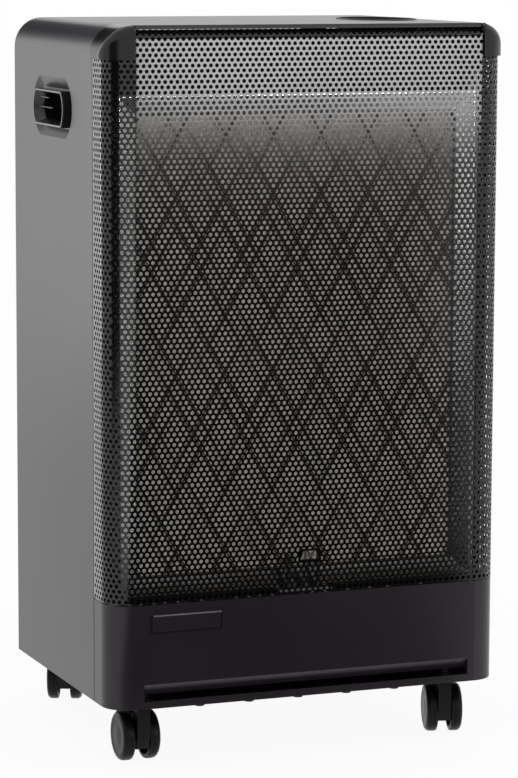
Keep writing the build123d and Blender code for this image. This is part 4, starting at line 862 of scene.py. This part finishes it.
def tooth(x, z):
    """The small plain triangle between two tiles of the lowest row."""
    deselect()
    bpy.ops.mesh.primitive_circle_add(vertices=3, radius=1.0, fill_type="NGON")
    piece = bpy.context.object
    shape = ((0, TILE_PEAK - TILE_SIDE), (-HOLE_PITCH / 2, 0), (HOLE_PITCH / 2, 0))
    for vertex, (across, up) in zip(piece.data.vertices, shape):
        vertex.co = Vector((across, up, 0))
    piece.rotation_euler = (math.pi / 2, 0, 0)
    piece.location = (x, 0, z)
    settle(piece)
    return piece


foot = tooth(first_x + HOLE_PITCH / 2, PUNCHED_FOOT)
repeat(foot, COLUMNS - 1, (HOLE_PITCH, 0, 0))
face_forward(foot)
apply_modifier(foot, "SOLIDIFY", thickness=SHEET, offset=-1.0)
for vertex in foot.data.vertices:
    vertex.co = bent(vertex.co)
pick(foot)
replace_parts(new_piece("grille_foot", GRILLE_PAINT), "front_grille")
print("foot strip:", len(foot.data.polygons), "faces")

# %% [markdown]
# The pilot window is a small trapezoid cut through the grille. A plain border, level
# with the sheet, closes the holes that the cut would leave open, and a short steel
# lip stands in the opening.

# %% Pilot window
def upright_plate(name, outline, front, thickness, material, bevel=0.0):
    """A plate of any outline (millimetres, x and z) that starts at a depth and goes back."""
    deselect()
    bpy.ops.mesh.primitive_circle_add(vertices=len(outline), radius=1.0, fill_type="NGON")
    plate = bpy.context.object
    for vertex, (across, up) in zip(plate.data.vertices, outline):
        vertex.co = Vector((across, up, 0)) * MM
    plate.rotation_euler = (math.pi / 2, 0, 0)
    plate.location = (0, front * MM, 0)
    settle(plate)
    edit(plate)
    bpy.ops.mesh.normals_make_consistent(inside=False)
    bpy.ops.mesh.extrude_region_move(TRANSFORM_OT_translate={"value": (0, thickness * MM, 0)})
    bpy.ops.mesh.select_all(action="SELECT")
    bpy.ops.mesh.normals_make_consistent(inside=False)
    bpy.ops.object.mode_set(mode="OBJECT")
    if bevel:
        apply_modifier(plate, "BEVEL", width=bevel * MM, segments=2)
    return new_piece(name, material)


def boolean_cut(piece, cutter):
    """Takes the cutter's room out of a piece and deletes the cutter."""
    apply_modifier(piece, "BOOLEAN", operation="DIFFERENCE", object=cutter, solver="EXACT")
    deselect()
    cutter.select_set(True)
    bpy.ops.object.delete()


WINDOW_OUTLINE = [(-12.6, 200.2), (12.6, 200.2), (11.6, 213.0), (-11.6, 213.0)]
OPENING_OUTLINE = [(-10, 202.5), (10, 202.5), (6.3, 211), (-6.3, 211)]
window = upright_plate(
    "pilot_window", WINDOW_OUTLINE, front_mm, SHEET_MM, GRILLE_PAINT, bevel=0.15,
)
opening = upright_plate("window_cutter", OPENING_OUTLINE, front_mm - 3, 8, GRILLE_PAINT)
boolean_cut(window, opening)
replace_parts(window, "front_grille")
box_piece(
    "pilot_window_lip", (-5.5, front_mm - 0.5, 205.6), (5.5, front_mm + 1.0, 206.8),
    GUARD_STEEL, bevel=0.3,
)
print("pilot window:", len(window.data.polygons), "faces")

# %% [markdown]
# The badge is a bare black plate in a thin chrome border. The border's chrome is
# darkened as painted shade, and a bright chrome bar along its upper edge is a painted
# highlight. The border is a flat ring: an outline, inset once, with the middle face
# taken away.

# %% Badge border
BADGE_LOW, BADGE_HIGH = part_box("badge_plate")


def rounded_ring(name, low, high, radius, width, thickness, front, material):
    """A rounded rectangular ring standing upright (metres)."""
    deselect()
    bpy.ops.mesh.primitive_plane_add(size=1.0)
    ring = bpy.context.object
    ring.scale = (high.x - low.x, high.z - low.z, 1)
    ring.rotation_euler = (math.pi / 2, 0, 0)
    ring.location = ((low.x + high.x) / 2, front, (low.z + high.z) / 2)
    settle(ring)
    apply_modifier(ring, "BEVEL", affect="VERTICES", width=radius, segments=5)
    edit(ring)
    bpy.ops.mesh.inset(thickness=width)
    bpy.ops.mesh.delete(type="FACE")
    bpy.ops.object.mode_set(mode="OBJECT")
    face_forward(ring)
    apply_modifier(ring, "SOLIDIFY", thickness=thickness, offset=1.0)
    apply_modifier(ring, "BEVEL", width=thickness * 0.3, segments=2)
    return new_piece(name, material)


# The border, in chrome darkened as painted shade.
rounded_ring(
    "badge_rim", BADGE_LOW, BADGE_HIGH, radius=2.0 * MM, width=0.9 * MM, thickness=0.35 * MM,
    front=BADGE_LOW.y + 0.1 * MM, material=BADGE_RIM_PAINTED_SHADE,
)
badge_left, badge_front = BADGE_LOW.x / MM, BADGE_LOW.y / MM
badge_right, badge_top = BADGE_HIGH.x / MM, BADGE_HIGH.z / MM
# A bright chrome bar along the upper edge: a painted highlight.
box_piece(
    "badge_bright_edge", (badge_left + 2.0, badge_front - 0.55, badge_top - 0.9),
    (badge_right - 0.6, badge_front - 0.05, badge_top - 0.05), BADGE_EDGE_PAINTED_HIGHLIGHT, bevel=0.12,
)
print("badge:", round(badge_right - badge_left, 1), "mm wide")

# %% [markdown]
# Two ribs cross each finger cup, in a plastic lighter than the cup's own: a painted
# highlight for the thin light lines along their edges. A thin satin band frames the
# cup's mouth. The band is the cup's own outline, drawn as a flat face, inset once and
# given some thickness.

# %% Grip ribs and mouth bands of the handle cups
RIB_BACK, RIB_FACE, RIB_HALF = 209.2, 211.0, 0.6
# Each row: height above the middle, then the ends towards the front and the rear.
RIBS = ((-0.3, -2.0, 39.0), (9.5, 10.0, 36.0))
END_BOW = 8.0
BAND_INSET, BAND_WIDTH, BAND_THICKNESS = 0.8, 1.2, 0.3


def barrel(flat, width, height, steps=8):
    """Straight top and bottom with bowed ends: points in order round the outline."""
    bow = (width - flat) / 2
    radius = (height ** 2 / 4 + bow ** 2) / (2 * bow)
    reach = math.asin(height / 2 / radius)
    points = []
    for way in (1, -1):
        for k in range(steps + 1):
            turn = -reach + 2 * reach * k / steps
            across = width / 2 - radius + radius * math.cos(turn)
            points.append((way * across, way * radius * math.sin(turn)))
    return points


for side, hand in ((-1, "left"), (1, "right")):
    low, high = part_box(f"handle_insert_{hand}")
    middle_y, middle_z = (low.y + high.y) / 2 / MM, (low.z + high.z) / 2 / MM
    width, height = (high.y - low.y) / MM, (high.z - low.z) / MM
    near, far = sorted((side * RIB_BACK, side * RIB_FACE))
    for index, (rise, front_end, rear_end) in enumerate(RIBS):
        # Each rib gets the lighter plastic, a painted highlight.
        box_piece(
            f"handle_rib_{hand}_{index}",
            (near, middle_y + front_end, middle_z + rise - RIB_HALF),
            (far, middle_y + rear_end, middle_z + rise + RIB_HALF), GRIP_RIB_PAINTED_HIGHLIGHT, bevel=0.4,
        )
    smaller = 2 * BAND_INSET
    outline = barrel(width - 2 * END_BOW - smaller, width - smaller, height - smaller)
    deselect()
    bpy.ops.mesh.primitive_circle_add(vertices=len(outline), radius=1.0, fill_type="NGON")
    band = bpy.context.object
    for vertex, (across, up) in zip(band.data.vertices, outline):
        vertex.co = Vector((across, up, 0)) * MM
    band.rotation_euler = (math.pi / 2, 0, side * math.pi / 2)
    band.location = ((high.x if side > 0 else low.x), middle_y * MM, middle_z * MM)
    settle(band)
    edit(band)
    bpy.ops.mesh.inset(thickness=BAND_WIDTH * MM)
    bpy.ops.mesh.delete(type="FACE")
    bpy.ops.object.mode_set(mode="OBJECT")
    apply_modifier(band, "SOLIDIFY", thickness=BAND_THICKNESS * MM, offset=0.0)
    edit(band)
    bpy.ops.mesh.normals_make_consistent(inside=False)
    bpy.ops.object.mode_set(mode="OBJECT")
    new_piece(f"handle_band_{hand}", RIM_STEEL)

# %% [markdown]
# The knob is turned from one profile and then fluted: a lathe shape gives the body,
# and its flutes are cut by a ring of small cylinders. A white pointer marks its front.

# %% Control knob
KNOB_LOW, KNOB_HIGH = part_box("control_knob")
knob_middle = (KNOB_LOW + KNOB_HIGH) / 2
knob_radius = (KNOB_HIGH.x - KNOB_LOW.x) / 2
KNOB_BORE = 0.0031
# Pairs of how far inside the rim and how high above the foot, in metres.
KNOB_PROFILE = (
    (0.0, 0.0), (0.0, 0.0042), (0.0006, 0.005), (0.0028, 0.0056), (0.0034, 0.0072),
    (0.0042, 0.0136), (0.0054, 0.0146), (0.0062, 0.015),
)
FLUTES = 24
FLUTE_RADIUS, FLUTE_LENGTH = 1.1 * MM, 0.02
FLUTE_INSIDE, FLUTE_HEIGHT = 0.0032, 0.0165
POINTER_HALF, POINTER_TIP, POINTER_END = 0.8, 14.5, 5


def lathe(name, profile, centre, material, body, segments):
    """Spins a profile of radius and height pairs (metres) about an upright axis."""
    deselect()
    bpy.ops.mesh.primitive_circle_add(vertices=len(profile), radius=1.0, fill_type="NOTHING")
    piece = bpy.context.object
    for vertex, (radius, height) in zip(piece.data.vertices, profile):
        vertex.co = Vector((radius, 0, height))
    apply_modifier(
        piece, "SCREW", angle=2 * math.pi, steps=segments, render_steps=segments,
        use_merge_vertices=True, merge_threshold=SAME_PLACE,
    )
    edit(piece)
    bpy.ops.mesh.remove_doubles(threshold=SAME_PLACE)
    bpy.ops.mesh.normals_make_consistent(inside=False)
    bpy.ops.object.mode_set(mode="OBJECT")
    piece.location = centre
    settle(piece)
    return new_piece(name, material, body)


def smooth(piece, angle=35):
    """Shades a piece smooth, except across edges sharper than the angle in degrees."""
    pick(piece)
    bpy.ops.object.shade_smooth_by_angle(angle=math.radians(angle))


turned = [(knob_radius - inside, height) for inside, height in KNOB_PROFILE]
knob = lathe(
    "knob_body", [(KNOB_BORE, 0.0), *turned, (KNOB_BORE, KNOB_PROFILE[-1][1])],
    (knob_middle.x, knob_middle.y, KNOB_LOW.z), KNOB_PLASTIC, "knob", segments=72,
)
deselect()
bpy.ops.mesh.primitive_cylinder_add(vertices=12, radius=FLUTE_RADIUS, depth=FLUTE_LENGTH)
flute = bpy.context.object
flute.location = (knob_radius - FLUTE_INSIDE, 0, FLUTE_HEIGHT)
settle(flute)
edit(flute)
for _ in range(FLUTES - 1):
    bpy.ops.mesh.duplicate()
    bpy.ops.transform.rotate(
        value=2 * math.pi / FLUTES, orient_axis="Z", center_override=(0, 0, 0),
    )
bpy.ops.object.mode_set(mode="OBJECT")
flute.location = (knob_middle.x, knob_middle.y, KNOB_LOW.z)
settle(flute)
boolean_cut(knob, flute)
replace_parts(knob, "control_knob")
smooth(knob)
cx, cy, top = (v / MM for v in (knob_middle.x, knob_middle.y, KNOB_HIGH.z))
box_piece(
    "knob_pointer", (cx - POINTER_HALF, cy - POINTER_TIP, top - 0.1),
    (cx + POINTER_HALF, cy - POINTER_END, top + 0.25), DIAL_WHITE, "knob", bevel=0.1,
)
print("knob triangles:", sum(len(p.vertices) - 2 for p in knob.data.polygons))

# %% [markdown]
# A castor wheel is moulded with a thin tyre band, a shallow dished face and a hub
# cap. One profile is spun, then a copy goes to each of the eight places.

# %% Castor wheels
# Pairs of radius and width in millimetres, from the inner face to the outer one.
WHEEL_PROFILE = [
    (3.05, 9.4), (3.05, 0.0), (7.0, 0.0), (7.0, 9.0), (20.5, 9.0), (20.5, 0.8),
    (21.3, 0.0), (23.2, 0.0), (24.4, 0.5), (25.0, 1.8), (25.0, 3.8), (24.7, 4.0),
    (24.7, 4.4), (25.0, 4.6), (25.0, 7.2), (24.7, 8.7), (23.9, 10.2), (22.4, 11.4),
    (20.0, 12.0), (18.6, 11.9), (17.8, 11.75), (9.0, 11.75), (8.4, 11.85), (7.0, 12.0),
    (0.0, 12.0), (0.0, 9.4),
]
WHEEL_MIDDLE = 6.0
spun = [(radius * MM, (width - WHEEL_MIDDLE) * MM) for radius, width in WHEEL_PROFILE]
first_wheel = None
for corner in CORNERS:
    centres = {}
    for hand in ("left", "right"):
        low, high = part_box(f"castor_wheel_{corner}_{hand}")
        centres[hand] = (low + high) / 2
    outward = (centres["right"] - centres["left"]).normalized()
    for hand, way in (("left", -outward), ("right", outward)):
        if first_wheel is None:
            wheel = lathe(
                "wheel", spun, (0, 0, 0), WHEEL_PLASTIC, f"wheel_{corner}_{hand}",
                segments=48,
            )
            smooth(wheel, angle=30)
            first_wheel = wheel.data.copy()
        else:
            wheel = bpy.data.objects.new("wheel", first_wheel.copy())
            bpy.context.scene.collection.objects.link(wheel)
        wheel.rotation_mode = "QUATERNION"
        wheel.rotation_quaternion = way.to_track_quat("Z", "Y")
        wheel.location = centres[hand]
        settle(wheel)
        new_piece(
            f"castor_wheel_{corner}_{hand}_moulded", WHEEL_PLASTIC, f"wheel_{corner}_{hand}",
        )
        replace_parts(wheel, f"castor_wheel_{corner}_{hand}")
print("one wheel:", len(first_wheel.polygons), "faces")

# %% [markdown]
# Behind each slot of the rear cover the press leaves a hood, closed above and open
# below, which keeps fingers off the gas bottle. One hood is a quarter of a sphere,
# stretched along its slot, and arrays copy it to all the other slots.

# %% Louvre hoods on the rear cover
COVER_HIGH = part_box("rear_cover")[1]
HOOD_LENGTH, HOOD_RISE, HOOD_HEIGHT = 98 * MM, 6.0 * MM, 9.0 * MM
LOUVRE_PITCH, LOUVRE_ROWS = 22 * MM, 6
COLUMN_PITCH, LOUVRE_COLUMNS = 110 * MM, 3
BLOCK_STEP, LOUVRE_BLOCKS = 470 * MM, 2
LOWEST_SLOT = 90 * MM
HOOD_SHEET, HOOD_DROP = 0.6 * MM, 2.5 * MM

deselect()
bpy.ops.mesh.primitive_uv_sphere_add(segments=24, ring_count=12, radius=1.0)
hood = bpy.context.object
settle(hood)
edit(hood)
bpy.ops.mesh.bisect(plane_co=(0, 0, 0), plane_no=(0, 0, 1), clear_inner=True)
bpy.ops.mesh.select_all(action="SELECT")
bpy.ops.mesh.bisect(plane_co=(0, 0, 0), plane_no=(0, 1, 0), clear_outer=True)
bpy.ops.object.mode_set(mode="OBJECT")
straight = HOOD_LENGTH / 2 - HOOD_HEIGHT
for vertex in hood.data.vertices:
    across, out, up = vertex.co
    side = 1 if across > SAME_PLACE else -1 if across < -SAME_PLACE else 0
    vertex.co = Vector((
        side * straight + across * HOOD_HEIGHT, out * HOOD_RISE, up * HOOD_HEIGHT,
    ))
apply_modifier(hood, "SOLIDIFY", thickness=HOOD_SHEET, offset=-1.0)
hood.location = (-COLUMN_PITCH, COVER_HIGH.y - SHEET, LOWEST_SLOT - HOOD_DROP)
settle(hood)
repeat(hood, LOUVRE_COLUMNS, (COLUMN_PITCH, 0, 0))
repeat(hood, LOUVRE_ROWS, (0, 0, LOUVRE_PITCH))
repeat(hood, LOUVRE_BLOCKS, (0, 0, BLOCK_STEP))
smooth(hood, angle=40)
new_piece("louvre_hoods", CABINET_PAINT, "rear_cover")
print("louvre hoods:", sum(len(p.vertices) - 2 for p in hood.data.polygons), "triangles")

# %% [markdown]
# Last, the frame's own nodes are shaded smooth across their gentle edges.

# %% Close the scene
NODE_SMOOTHING = 32
for name, node in NODES.items():
    smooth(node, NODE_SMOOTHING)
